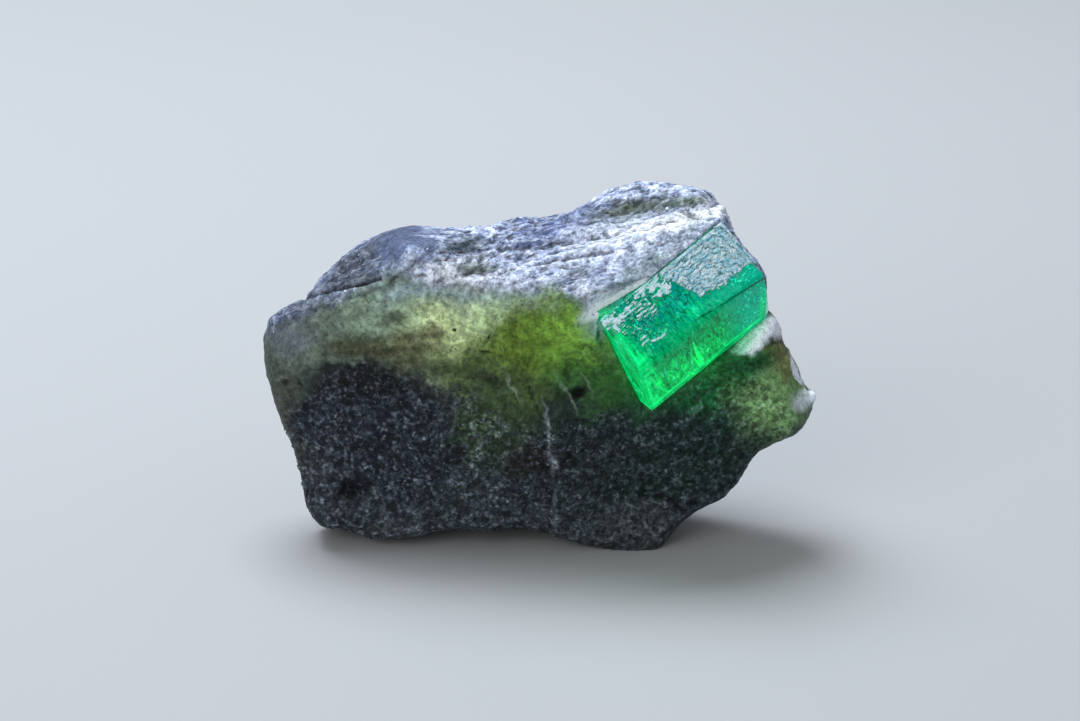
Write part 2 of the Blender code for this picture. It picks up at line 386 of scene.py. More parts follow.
class Wires:
    """Adds and joins the nodes of one tree."""

    def __init__(self, tree: NodeTree) -> None:
        """Works in the given tree."""
        self.tree = tree

    def add(self, kind: str, feeds: dict | None = None, **settings: object) -> Node:
        """A new node.

        Args:
            kind: Its type.
            feeds: Values or sockets for its inputs, by name or number.
            **settings: Its properties.

        Returns:
            The node.
        """
        made = self.tree.nodes.new(kind)
        for name, value in settings.items():
            setattr(made, name, value)
        self.feed_all(made, feeds or {})
        return made

    def node(self, kind: str, feeds: dict | None = None, **settings: object) -> Node:
        """A new shader node, its type given without the ShaderNode before it."""
        return self.add("ShaderNode" + kind, feeds, **settings)

    def feed_all(self, node: Node, feeds: dict) -> None:
        """Links or sets a node's inputs, by name or number."""
        for name, value in feeds.items():
            self.feed(node.inputs[name], value)

    def feed(self, socket: Socket, value: object) -> None:
        """Links a socket to another, or sets its value.

        Args:
            socket: The input.
            value: An output to link it to, or its value.
        """
        if isinstance(value, Socket):
            self.tree.links.new(value, socket)
        elif socket.type == "RGBA" and len(value) == 3:
            socket.default_value = (*value, 1.0)
        else:
            socket.default_value = value

    def sum(self, operation: str, *values: object) -> Socket:
        """The result of a Math node."""
        return self.node("Math", dict(enumerate(values)), operation=operation).outputs[0]

    def product(self, first: object, *others: object) -> Socket:
        """Numbers multiplied, from the first on.

        Args:
            first: The first.
            *others: The others.

        Returns:
            Their product.
        """
        for other in others:
            first = self.sum("MULTIPLY", first, other)
        return first

    def over(self, base: object, *layers: tuple[object, object]) -> Socket:
        """A colour with others laid over it, each given after its share.

        Args:
            base: The colour at the bottom.
            *layers: The share and the colour of each layer, from the bottom up.

        Returns:
            The colour seen from above.
        """
        for share, colour in layers:
            base = self.blend(share, base, colour)
        return base

    def vector(self, operation: str, *values: object) -> Socket:
        """The result of a Vector Math node: a number for LENGTH, or else a vector."""
        made = self.node("VectorMath", dict(enumerate(values)), operation=operation)
        return made.outputs["Value" if operation == "LENGTH" else "Vector"]

    def blend(self, share: object, first: object, second: object) -> Socket:
        """A blend of two colours.

        Args:
            share: The second colour's share.
            first: The colour at a share of 0.
            second: The colour at a share of 1.

        Returns:
            The blended colour.
        """
        made = self.node("Mix", data_type="RGBA", blend_type="MIX", clamp_factor=True)
        for index, value in ((0, share), (6, first), (7, second)):
            self.feed(made.inputs[index], value)
        return made.outputs[2]

    def ramp(self, value: object, low: float, high: float, first: float = 0.0, last: float = 1.0) -> Socket:
        """A smooth step between two values."""
        feeds = {"Value": value, "From Min": low, "From Max": high, "To Min": first, "To Max": last}
        return self.node("MapRange", feeds, interpolation_type="SMOOTHSTEP").outputs["Result"]

    def clouds(self, point: Socket, scale: float, detail: float = 3.0, twist: float = 0.0) -> Node:
        """A Noise Texture node."""
        feeds = {"Vector": point, "Scale": scale, "Detail": detail, "Distortion": twist}
        return self.node("TexNoise", feeds)

    def haze(self, point: Socket, scale: float, detail: float = 3.0, twist: float = 0.0) -> Socket:
        """Noise as a number."""
        return self.clouds(point, scale, detail, twist).outputs["Fac"]

    def shaken(self, point: Socket, scale: float, detail: float, reach: float, under: object) -> Socket:
        """A point pushed by coloured noise, of up to a reach, that is taken at another point."""
        drift = self.clouds(point, scale, detail).outputs["Color"]
        return self.vector("MULTIPLY_ADD", drift, (reach,) * 3, under)

    def brighter(self, colour: object, value: object) -> Socket:
        """A colour made brighter or darker."""
        return self.node("HueSaturation", {"Color": colour, "Value": value}).outputs[0]

    def bump(self, height: Socket, strength: float, distance: float) -> Socket:
        """The normals of a surface with a height, at a distance in metres."""
        feeds = {"Height": height, "Strength": strength, "Distance": distance}
        return self.node("Bump", feeds).outputs[0]

    def attribute(self, name: str) -> Socket:
        """The number that a mesh keeps under a name."""
        return self.node("Attribute", attribute_name=name).outputs["Fac"]


def shader_group(
    name: str, inputs: dict[str, str], outputs: dict[str, str]
) -> tuple[Wires, dict[str, Socket], Node]:
    """An empty shader group with named sockets.

    Args:
        name: The group's name.
        inputs: Socket type by input name.
        outputs: Socket type by output name.

    Returns:
        The wires in it, its inputs by name, and the node that takes its outputs.
    """
    tree = bpy.data.node_groups.new(name, "ShaderNodeTree")
    for side, sockets in (("INPUT", inputs), ("OUTPUT", outputs)):
        for label, kind in sockets.items():
            tree.interface.new_socket(label, in_out=side, socket_type="NodeSocket" + kind)
    wires = Wires(tree)
    source, target = wires.add("NodeGroupInput"), wires.add("NodeGroupOutput")
    return wires, {socket.name: socket for socket in source.outputs if socket.name}, target


def soft_patch_group() -> NodeTree:
    """A group that masks a soft-edged ellipsoid, turned in the plane seen from the front.

    Returns:
        The group.
    """
    inputs = {"Point": "Vector", "Centre": "Vector", "Reach": "Vector", "Turn": "Float", "Fade": "Float"}
    wires, entry, leave = shader_group("soft_patch", inputs, {"Mask": "Float"})
    offset = wires.vector("SUBTRACT", entry["Point"], entry["Centre"])
    turned = wires.node("VectorRotate", {"Vector": offset, "Angle": entry["Turn"]}, rotation_type="Y_AXIS")
    length = wires.vector("LENGTH", wires.vector("DIVIDE", turned.outputs[0], entry["Reach"]))
    outer = wires.sum("ADD", 1.0, entry["Fade"])
    inner = wires.sum("SUBTRACT", 1.0, entry["Fade"])
    wires.feed(leave.inputs["Mask"], wires.ramp(length, outer, inner))
    return wires.tree


def sugar_group() -> NodeTree:
    """A group for sugary grain: a random number for each grain, and the grains' domed height.

    Returns:
        The group.
    """
    inputs = {"Point": "Vector", "Grains per mm": "Float", "Raggedness": "Float"}
    wires, entry, leave = shader_group("sugar_grain", inputs, {"Grain": "Float", "Height": "Float"})
    ragged = wires.node("TexNoise", {"Vector": entry["Point"], "Scale": 2.1, "Detail": 2.0})
    shaken = wires.vector("MULTIPLY_ADD", ragged.outputs["Color"], entry["Raggedness"], entry["Point"])
    cells = wires.node("TexVoronoi", {"Vector": shaken, "Scale": entry["Grains per mm"]})
    split = wires.node("SeparateColor", {0: cells.outputs["Color"]})
    wires.feed(leave.inputs["Grain"], split.outputs[0])
    wires.feed(leave.inputs["Height"], wires.ramp(cells.outputs["Distance"], 0.9, 0.0))
    return wires.tree


def layering_group() -> NodeTree:
    """A group for thin layers that climb to the right: bright ridges and the hollows between them.

    Returns:
        The group.
    """
    inputs = {"Point": "Vector", "Climb": "Float", "Layers per mm": "Float", "Stretch": "Float"}
    wires, entry, leave = shader_group("layering", inputs, {"Ridge": "Float", "Hollow": "Float"})
    feeds = {"Vector": entry["Point"], "Angle": entry["Climb"]}
    turned = wires.node("VectorRotate", feeds, rotation_type="Y_AXIS")
    along = wires.sum("DIVIDE", entry["Layers per mm"], entry["Stretch"])
    scale = wires.node("CombineXYZ", {"X": along, "Y": along, "Z": entry["Layers per mm"]})
    thin = wires.clouds(wires.vector("MULTIPLY", turned.outputs[0], scale.outputs[0]), 1.0, 4.0, 0.4)
    centred = wires.sum("ABSOLUTE", wires.sum("SUBTRACT", thin.outputs["Fac"], 0.5))
    wires.feed(leave.inputs["Ridge"], wires.ramp(centred, 0.09, 0.0))
    wires.feed(leave.inputs["Hollow"], wires.ramp(thin.outputs["Fac"], 0.46, 0.33))
    return wires.tree


class Effect(Enum):
    """The effects that more than one finish uses."""

    SOFT_PATCH = "soft_patch"
    SUGAR_GRAIN = "sugar_grain"
    LAYERING = "layering"


MAKERS = {
    Effect.SOFT_PATCH: soft_patch_group,
    Effect.SUGAR_GRAIN: sugar_group,
    Effect.LAYERING: layering_group,
}


def effect(wires: Wires, which: Effect, feeds: dict) -> Node:
    """A node that holds one of the shared groups.

    Args:
        wires: The tree to add it to.
        which: The effect.
        feeds: Its inputs by name.

    Returns:
        The group node.
    """
    tree = bpy.data.node_groups.get(which.value) or MAKERS[which]()
    holder = wires.node("Group", node_tree=tree)
    wires.feed_all(holder, feeds)
    return holder


def new_finish(name: str) -> tuple[Material, Wires, Node]:
    """A new material.

    Args:
        name: Its name.

    Returns:
        The material, its wires and its Principled shader.
    """
    finish = bpy.data.materials.new(name)
    finish.use_nodes = True
    wires = Wires(finish.node_tree)
    return finish, wires, finish.node_tree.nodes["Principled BSDF"]


def in_space(wires: Wires, space: Space) -> Socket:
    """Object coordinates turned into a space's mm.

    Args:
        wires: The material's wires.
        space: The space.

    Returns:
        The point in it.
    """
    place_of = space.matrix.to_translation()
    turn = space.matrix.to_euler()
    source = wires.node("TexCoord").outputs["Object"]
    feeds = {"Vector": source, "Location": place_of, "Rotation": turn, "Scale": (MM, MM, MM)}
    return wires.node("Mapping", feeds, vector_type="TEXTURE").outputs[0]


@dataclass(frozen=True)
class Patch:
    """One soft-edged zone of colour in the rock.

    Attributes:
        name: What it is.
        colour: Its colour, in display values.
        middle: Its middle across and up, in mm.
        reach: Its half width and half height, in mm.
        turn: How far it is turned anticlockwise, in degrees.
        fade: How soft its edge is, as a share of its reach.
        share: How strongly it covers what is under it.
        depth: Where its middle lies along the line of sight, and how far it reaches from there, in mm.
    """

    name: str
    colour: Colour
    middle: tuple[float, float]
    reach: tuple[float, float]
    turn: float
    fade: float
    share: float
    depth: tuple[float, float] = (-12.0, 11.0)

    def lay(self, wires: Wires, point: Socket, under: object, through: object = 1.0) -> Socket:
        """Lays the zone over a colour.

        Args:
            wires: The rock's wires.
            point: The point in front space.
            under: The colour below.
            through: The share of the zone that each grain takes.

        Returns:
            The colour with the zone in it.
        """
        feeds = {
            "Point": point,
            "Centre": (self.middle[0], self.depth[0], self.middle[1]),
            "Reach": (self.reach[0], self.depth[1], self.reach[1]),
            "Turn": math.radians(self.turn),
            "Fade": self.fade,
        }
        mask = effect(wires, Effect.SOFT_PATCH, feeds).outputs["Mask"]
        covered = wires.product(mask, wires.product(through, self.share))
        return wires.blend(covered, under, paint(*self.colour))


def patches(*rows: tuple) -> tuple[Patch, ...]:
    """Zones of colour from rows of their values."""
    return tuple(Patch(*row) for row in rows)


# The bare rock's zones of colour, each laid over the ones before it. The glow zones and the bright
# yellow-green are painted glow of light through the thin rock, and the green zones beside and under the
# crystal are painted green light and shade from it.
ZONES = patches(
    ("pale band under the ridge", (110, 124, 112), (-5.9, 19.7), (18.7, 8.0), 0, 0.4, 1.0),
    ("left rim", (58, 62, 55), (-21.8, 9.3), (3.2, 9.3), 8, 0.5, 1.0),
    ("frosted left shoulder", (90, 102, 92), (-17.4, 15.9), (5.1, 3.1), 20, 0.6, 0.9),
    ("frosted middle", (120, 140, 120), (-11.4, 18.3), (4.7, 2.9), 0, 0.7, 1.0),
    ("frosted haze", (138, 158, 168), (-10.4, 20.3), (3.0, 1.1), 8, 0.8, 0.7),
    ("frost over the glow", (146, 168, 158), (-4.0, 19.8), (3.2, 1.2), 0, 0.7, 0.9),
    ("pale green glow", (190, 208, 152), (-6.9, 16.2), (4.2, 2.6), -10, 0.7, 1.0),
    ("upper glow", (186, 210, 164), (-3.8, 17.9), (3.0, 1.6), 0, 0.7, 0.85),
    ("yellow-green glow", (80, 104, 34), (-0.4, 15.3), (6.0, 3.9), 0, 0.5, 1.0),
    ("bright yellow-green glow", (104, 144, 54), (2.8, 15.7), (3.1, 3.9), 15, 0.6, 1.0),
    ("brown streaks", (84, 86, 56), (-12.3, 16.0), (5.3, 1.0), 0, 0.6, 0.8),
    ("black mica", (22, 28, 36), (-13.5, 8.0), (7.8, 6.0), -8, 0.25, 1.0),
    ("black mica shoulder", (8, 10, 14), (-14.8, 13.3), (4.1, 1.7), 0, 0.4, 1.0),
    ("olive window", (46, 62, 38), (-3.3, 10.0), (4.4, 4.2), 0, 0.5, 0.9),
    ("olive upper window", (66, 88, 44), (-1.4, 11.8), (2.8, 1.3), 0, 0.7, 0.6),
    ("specked green", (66, 84, 44), (-5.9, 13.9), (3.7, 1.2), -10, 0.5, 0.9),
    ("green beside the crystal", (38, 76, 34), (4.6, 12.1), (3.4, 2.6), 0, 0.6, 0.9),
    ("green under the crystal", (0, 118, 52), (15.5, 11.4), (5.6, 2.4), 37, 0.6, 1.0, (-13.0, 8.5)),
    ("dark right flank", (18, 34, 31), (11.5, 6.4), (8.4, 5.3), 15, 0.5, 1.0),
    ("olive right end", (100, 134, 86), (20.6, 11.1), (3.5, 3.4), 0, 0.5, 1.0, (-12.0, 9.0)),
    ("olive shoulder", (116, 122, 74), (20.9, 15.1), (1.5, 1.8), 15, 0.6, 0.9, (-12.0, 6.0)),
    ("dark lower middle", (24, 30, 32), (2.6, 6.0), (5.6, 4.6), 0, 0.5, 0.8),
    ("foot", (56, 60, 62), (8.5, 0.0), (3.9, 1.9), 0, 0.6, 0.9),
    ("pale lower rim", (56, 60, 62), (-10.1, -1.5), (14.4, 1.4), 0, 0.6, 0.9),
    ("pale lower corner", (34, 38, 44), (-18.6, 2.6), (2.9, 3.7), 0, 0.6, 0.9),
)
# The frosted top's zones, and what is laid over its layers: bright and dull patches of painted light and shade
# from above, painted shade in its pits and hollows, and painted light on its shelf.
LIT_FROST_ZONES = patches(
    ("bright arc", (228, 236, 250), (-4.6, 21.2), (5.6, 1.2), -6, 0.7, 0.52),
    ("bright shelf", (232, 240, 255), (9.9, 26.1), (6.6, 0.8), 13, 0.6, 0.75),
    ("bright slope", (218, 231, 255), (6.4, 23.8), (5.8, 1.8), 17, 0.7, 0.65),
    ("bright corner", (224, 234, 246), (4.5, 19.3), (1.6, 0.9), 35, 0.6, 0.5),
    ("rounded grains", (60, 66, 80), (-15.8, 22.8), (4.4, 3.0), 35, 0.5, 0.9),
    ("left slope", (128, 142, 160), (-13.2, 21.8), (2.8, 1.1), 30, 0.6, 0.75),
    ("left arc", (236, 243, 255), (-7.4, 21.8), (2.2, 0.8), -12, 0.6, 0.8),
    ("high slope", (78, 94, 138), (1.2, 26.4), (4.4, 1.2), 20, 0.6, 0.85),
    ("grey slope", (112, 126, 146), (2.2, 20.6), (3.2, 0.9), 10, 0.8, 0.6),
    ("middle slope", (214, 226, 255), (1.2, 23.5), (3.4, 1.0), 12, 0.7, 0.4),
    ("smooth knob", (86, 98, 130), (-11.4, 24.4), (2.8, 2.2), 6, 0.4, 0.92),
    ("left crest", (54, 61, 74), (-20.0, 18.8), (4.8, 1.8), 33, 0.6, 0.85),
)
LIT_FROST_DETAILS = patches(
    ("pocket_shade", (74, 90, 72), (-5.0, 22.2), (1.7, 0.65), 5, 0.6, 0.8),
    ("upper pocket", (72, 86, 92), (-6.4, 24.2), (2.2, 0.9), 8, 0.7, 0.75),
    ("green hollow", (78, 92, 62), (8.0, 27.5), (3.9, 0.85), 11, 0.6, 0.85),
    ("small hollow", (92, 106, 84), (13.0, 28.1), (1.5, 0.5), 8, 0.6, 0.8),
    ("shelf light", (246, 250, 255), (12.9, 26.6), (4.4, 0.6), 15, 0.6, 0.85),
    ("shelf end", (240, 246, 255), (7.4, 25.3), (3.2, 0.35), 13, 0.7, 0.6),
    ("high slope shade", (96, 112, 156), (1.8, 26.2), (2.8, 0.9), 20, 0.7, 0.5),
    ("slope above the crystal", (112, 130, 132), (8.4, 22.0), (4.2, 0.75), 35, 0.5, 0.6),
)
# What is laid over the bare rock's grains: pockets, streaks, the vein and specks. The black pockets and
# hollows are painted shade in pits, the dark patch under the wedge is painted shade, and the deep green beside
# the crystal is painted green light and shade from it.
DETAILS = patches(
    ("black pocket", (8, 10, 14), (3.4, 11.65), (0.75, 0.42), 14, 0.6, 0.95),
    ("black pocket end", (12, 14, 16), (2.8, 11.4), (0.5, 0.3), -20, 0.6, 0.85),
    ("black hollow", (10, 12, 20), (-16.1, 3.4), (1.4, 1.3), 0, 0.5, 1.0),
    ("small black hollow", (14, 16, 20), (-7.0, 6.4), (1.1, 0.85), 0, 0.5, 1.0),
    ("brown stain", (22, 18, 15), (-0.6, 5.9), (2.4, 1.1), 0, 0.7, 0.85),
    ("dark seam", (26, 32, 22), (-12.3, 17.9), (0.9, 0.6), 0, 0.7, 0.7),
    ("upper brown streak", (62, 60, 40), (-12.0, 16.2), (4.6, 0.35), 4, 0.8, 0.6),
    ("lower brown streak", (40, 42, 30), (-13.0, 15.2), (4.4, 0.35), 2, 0.8, 0.7),
    ("dark fringe", (34, 40, 24), (-4.4, 13.0), (2.8, 0.45), -10, 0.8, 0.7),
    ("dark fringe of the mica", (30, 34, 32), (-8.2, 11.6), (2.6, 0.9), -8, 0.7, 0.7),
    ("dark lower edge", (22, 40, 28), (18.3, 6.9), (2.0, 1.5), 30, 0.6, 0.7),
    ("vein upper", (124, 132, 140), (0.75, 8.5), (0.12, 2.0), 5, 0.9, 0.6),
    ("vein lower", (92, 100, 108), (1.2, 3.2), (0.13, 2.2), 4, 0.9, 0.4),
    ("vein knot", (128, 136, 144), (1.2, 5.7), (0.32, 0.7), 20, 0.9, 0.5),
    ("dark under the wedge", (16, 38, 26), (18.2, 14.2), (2.2, 0.85), 20, 0.7, 0.8),
    ("dark over the mica", (34, 40, 26), (-11.2, 13.9), (3.4, 0.9), 0, 0.7, 0.75),
    ("black shoulder", (10, 13, 17), (-14.4, 12.6), (4.2, 1.2), -6, 0.6, 0.5),
    ("brown shade", (52, 54, 38), (-15.3, 15.6), (2.6, 1.0), 0, 0.7, 0.55),
    ("deep green beside the crystal", (2, 74, 32), (16.7, 13.2), (2.7, 1.5), 37, 0.7, 0.75),
    ("left wisp", (124, 134, 124), (-2.2, 12.2), (0.12, 1.5), 28, 0.9, 0.55),
    ("middle wisp", (112, 128, 112), (2.4, 11.6), (0.13, 1.6), 32, 0.9, 0.55),
    ("right wisp", (112, 130, 112), (4.1, 12.5), (0.12, 0.9), 26, 0.9, 0.55),
    ("speck one", (10, 14, 8), (-7.14, 16.8), (0.17, 0.17), 0, 0.5, 0.95),
    ("speck two", (14, 20, 8), (-6.97, 15.3), (0.1, 0.1), 0, 0.5, 0.9),
    ("speck three", (20, 26, 12), (-7.6, 15.2), (0.12, 0.09), 0, 0.5, 0.8),
    ("speck four", (14, 20, 8), (-4.3, 16.4), (0.24, 0.12), 10, 0.5, 0.9),
    ("speck five", (20, 26, 12), (-4.6, 15.1), (0.55, 0.15), -8, 0.6, 0.85),
    ("speck six", (24, 28, 20), (-20.7, 12.4), (0.34, 0.18), -42, 0.5, 0.9),
    ("speck seven", (30, 34, 26), (-9.9, 16.1), (0.16, 0.12), 0, 0.5, 0.7),
)
# Pale patches beside the crystal and on the right end: the wedge, strip, bead and tip are painted light on
# faces that look to the light, the left sheen is a painted sheen, and the patches at the crystal's corner are
# white crust.
LIT_FACES_AND_CRUST = patches(
    ("white wedge", (236, 250, 255), (18.9, 16.9), (2.4, 1.05), 36, 0.35, 0.97, (-13.5, 5.0)),
    ("white wedge end", (238, 242, 255), (20.3, 17.3), (1.1, 1.0), 0, 0.45, 0.97, (-12.5, 4.0)),
    ("pale corner", (150, 188, 170), (4.6, 17.7), (1.2, 0.9), 40, 0.8, 0.6),
    ("corner crust", (236, 244, 255), (5.2, 19.0), (1.9, 0.7), 36, 0.6, 0.75),
    ("green wedge", (150, 226, 196), (17.2, 15.8), (1.1, 0.5), 37, 0.6, 0.8),
    ("white strip", (232, 240, 255), (22.2, 13.3), (0.3, 1.8), 26, 0.4, 1.0, (-10.0, 1.6)),
    ("white bead", (244, 248, 255), (23.45, 11.3), (0.95, 0.8), 0, 0.4, 1.0, (-9.0, 1.9)),
    ("pale tip", (220, 234, 242), (22.9, 10.9), (1.2, 0.8), 0, 0.6, 0.95, (-9.4, 2.4)),
    ("left sheen", (128, 136, 156), (-21.2, 16.3), (1.6, 1.2), 10, 0.8, 0.45),
)


class RockNoise:
    """The noise that the parts of the rock's finish share."""

    def __init__(self, wires: Wires, warp: float, ragged: float) -> None:
        """Adds its nodes.

        Args:
            wires: The rock's wires.
            warp: How far noise moves the zones' edges, in mm.
            ragged: How far finer noise moves them, in mm.
        """
        self.point = in_space(wires, FRONT)
        self.warped = self.moved(wires, self.moved(wires, self.point, 0.22, warp), 1.2, ragged)
        self.near = self.moved(wires, self.moved(wires, self.point, 0.5, 0.35), 1.6, 0.15)
        feeds = {"Point": self.point, "Grains per mm": 2.4, "Raggedness": 0.6}
        self.grain = effect(wires, Effect.SUGAR_GRAIN, feeds)
        feeds = {"Point": self.point, "Grains per mm": 5.5, "Raggedness": 0.35}
        self.fine = effect(wires, Effect.SUGAR_GRAIN, feeds)
        feeds = {"Point": self.point, "Climb": LAYER_CLIMB, "Layers per mm": 1.5, "Stretch": 3.0}
        self.layers = effect(wires, Effect.LAYERING, feeds)
        self.mottle = wires.haze(self.point, 1.1, 6.0)
        self.cloudy = wires.haze(self.point, 0.8, 7.0, 0.3)
        self.layered = wires.attribute("layered")
        self.lit_frosted = wires.attribute("lit_frost")

    def moved(self, wires: Wires, point: Socket, scale: float, reach: float) -> Socket:
        """A point moved each way by noise, by about a reach in mm, so that zones have ragged edges."""
        pushed = wires.shaken(point, scale, 5.0, reach * 4.0, point)
        return wires.vector("SUBTRACT", pushed, (reach * 2.0,) * 3)


@dataclass(frozen=True)
class RockFinish:
    """Pale, sugary, micaceous rock: zones of colour with painted glow among them, grain, frosted layers on top
    that are painted lit from above, painted shade in hollows and painted light on crests, and painted green
    light from the crystal near it.

    Attributes:
        ground: The darkest rock.
        sugar: The grains that stand out pale in it.
        lit_frost: The frosted top where it is bright, painted bluish white as lit from above.
        frost_shade: The frosted top where it is dull, painted bluish as lit from above too.
        dusty: Dull clouds in the dark rock.
        pocket_shade: The painted shade in the hollows between the frosted layers.
        glint: The painted glint on the ridges of the frosted layers.
        ledge: The white crust along the crystal's upper edge, painted full white as its highlight too.
        crystal_green_light: The painted green light that the crystal throws on the rock near it.
        socket: The wall behind the crystal, painted pale to stand in for the light that shines through the
            crystal.
        warp: How far noise moves the zones' edges, in mm.
        ragged: How far finer noise moves them, in mm.
        gain: How much brighter the whole is made.
        gloss: Its specular level.
        depth: How far light spreads under the surface, in mm, for red, green and blue.
        spread: The share of light that does.
    """

    ground: Colour = paint(39, 46, 50)
    sugar: Colour = paint(132, 140, 152)
    lit_frost: Colour = paint(200, 213, 246)
    frost_shade: Colour = paint(98, 112, 152)
    dusty: Colour = paint(70, 79, 93)
    pocket_shade: Colour = paint(60, 76, 78)
    glint: Colour = paint(230, 238, 255)
    ledge: Colour = paint(238, 247, 255)
    crystal_green_light: Colour = paint(34, 104, 46)
    socket: Colour = paint(214, 236, 214)
    warp: float = 1.7
    ragged: float = 0.55
    gain: float = 1.35
    gloss: float = 0.16
    depth: Point = (0.9, 1.3, 0.8)
    spread: float = 0.15

    def build(self) -> Material:
        """Makes the material.

        Returns:
            The material.
        """
        finish, wires, shader = new_finish("sugary_rock")
        seen = RockNoise(wires, self.warp, self.ragged)
        fine = seen.fine.outputs["Grain"]
        # Painted green light from the crystal on the rock near it, weaker where the rock is frosted.
        crystal_light_share = wires.product(wires.attribute("crystal_green_light"), wires.ramp(seen.lit_frosted, 0.0, 1.0, 0.4, 0.12))
        colour = wires.over(
            self.mica(wires, seen),
            (seen.lit_frosted, self.lit_frosting(wires, seen)),
            (crystal_light_share, self.crystal_green_light),
        )
        crumbly = wires.ramp(fine, 0.0, 0.4, 0.8, 1.0)
        for zone in LIT_FACES_AND_CRUST:
            colour = zone.lay(wires, seen.near, colour, crumbly)
        # Painted light: the walls behind the crystal are painted pale, to stand in for light that shines
        # through it.
        colour = wires.blend(wires.attribute("socket"), colour, self.socket)
        # Painted shade darkens the hollows and painted light brightens the crests; the fine grain varies the
        # rest.
        relief = wires.product(
            wires.ramp(wires.attribute("hollow_shade"), 0.0, 1.0, 1.0, 0.35),
            wires.ramp(wires.attribute("crest_light"), 0.0, 1.0, 1.0, 1.35),
            wires.ramp(fine, 0.0, 0.35, 0.78, 1.02),
        )
        # Painted highlight: the white crust along the crystal's upper edge is laid on last at full white, over
        # the painted light and shade.
        lit = wires.product(wires.attribute("ledge"), wires.ramp(fine, 0.0, 0.3, 0.75, 1.0))
        colour = wires.blend(lit, wires.brighter(colour, relief), self.ledge)
        height = wires.product(seen.fine.outputs["Height"], 0.5)
        height = wires.sum("ADD", seen.grain.outputs["Height"], height)
        height = wires.sum("ADD", height, wires.product(seen.layers.outputs["Ridge"], seen.layered))
        looks = {
            "Base Color": colour,
            "Roughness": wires.ramp(fine, 0.0, 1.0, 0.42, 0.8),
            "Normal": wires.bump(height, 0.55, 0.00012),
            "Subsurface Weight": self.spread,
            "Subsurface Radius": self.depth,
            "Subsurface Scale": MM,
            "Specular IOR Level": self.gloss,
        }
        wires.feed_all(shader, looks)
        return finish

    def mica(self, wires: Wires, seen: RockNoise) -> Socket:
        """The colour of the bare rock: its zones, its pale grains, its details and its uneven shade.

        Args:
            wires: The rock's wires.
            seen: Its noise.

        Returns:
            The colour.
        """
        colour: object = self.ground
        for zone in ZONES:
            colour = zone.lay(wires, seen.warped, colour)
        grain, fine = seen.grain.outputs, seen.fine.outputs["Grain"]
        pale = wires.product(
            wires.ramp(grain["Height"], 0.2, 0.8), grain["Grain"], wires.ramp(seen.mottle, 0.38, 0.62)
        )
        rightward = wires.node("SeparateXYZ", {0: seen.point}).outputs["X"]
        grainy = wires.attribute("grainy")
        salted = wires.ramp(grainy, 0.0, 1.0, 0.08, 0.78)
        salted = wires.product(salted, wires.ramp(rightward, -4.0, 5.0, 1.0, 0.6))
        sugar = wires.blend(0.5, self.sugar, wires.brighter(colour, 2.4))
        tiny = wires.product(wires.ramp(fine, 0.75, 1.0), wires.ramp(seen.mottle, 0.4, 0.6))
        sprinkled = wires.product(tiny, wires.product(salted, 0.45))
        colour = wires.over(colour, (wires.product(pale, salted), sugar), (sprinkled, sugar))
        for detail in DETAILS:
            colour = detail.lay(wires, seen.near, colour)
        dust = wires.ramp(wires.haze(seen.point, 1.7, 5.0, 0.8), 0.5, 0.68)
        colour = wires.blend(wires.product(dust, wires.product(salted, 0.5)), colour, self.dusty)
        uneven = wires.ramp(wires.haze(seen.point, 2.2, 5.0, 0.6), 0.34, 0.66, 0.58, 1.42)
        uneven = wires.product(wires.sum("SUBTRACT", uneven, 1.0), wires.ramp(grainy, 0.0, 1.0, 0.45, 1.25))
        shade = wires.product(
            wires.ramp(seen.cloudy, 0.3, 0.7, 0.84, 1.16),
            wires.ramp(seen.mottle, 0.3, 0.7, 0.8, 1.2),
            wires.sum("ADD", uneven, 1.0),
            wires.ramp(fine, 0.0, 0.5, 0.85, 1.04),
            self.gain,
        )
        return wires.brighter(colour, shade)

    def lit_frosting(self, wires: Wires, seen: RockNoise) -> Socket:
        """The colour of the frosted top, painted bluish white as lit from above: pale layers with painted
        shade in the hollows between them and a painted glint on their ridges.

        Args:
            wires: The rock's wires.
            seen: Its noise.

        Returns:
            The colour.
        """
        white = wires.blend(wires.ramp(seen.mottle, 0.36, 0.66), self.frost_shade, self.lit_frost)
        # Painted shade in the hollows between the frosted layers.
        deep = wires.product(seen.layers.outputs["Hollow"], seen.layered)
        white = wires.blend(wires.product(deep, 0.8), white, self.pocket_shade)
        for zone in LIT_FROST_ZONES:
            white = zone.lay(wires, seen.warped, white)
        # Painted glint on the ridges of the frosted layers.
        high = wires.product(seen.layers.outputs["Ridge"], seen.layered)
        white = wires.blend(wires.product(high, 0.5), white, self.glint)
        for zone in LIT_FROST_DETAILS:
            white = zone.lay(wires, seen.near, white)
        scaly = wires.ramp(wires.haze(seen.point, 3.4, 4.0, 0.6), 0.36, 0.62, 0.62, 1.22)
        return wires.brighter(white, wires.product(scaly, wires.ramp(seen.cloudy, 0.3, 0.7, 0.75, 1.2)))


# The camera's distance, and the point of front space that it looks at, in mm.
SIGHT = 360.0
EYE_LINE = (0.045, -6.725, 14.40)


def as_seen(points: Array) -> tuple[Array, Array]:
    """Where points of front space stand in the front view, which draws near things larger.

    Args:
        points: Points in front space, in mm.

    Returns:
        How far across and how far up they are seen, in mm at the middle of the lump.
    """
    growth = SIGHT / (SIGHT + points[:, 1] - EYE_LINE[1])
    across = EYE_LINE[0] + (points[:, 0] - EYE_LINE[0]) * growth
    return across, EYE_LINE[2] + (points[:, 2] - EYE_LINE[2]) * growth


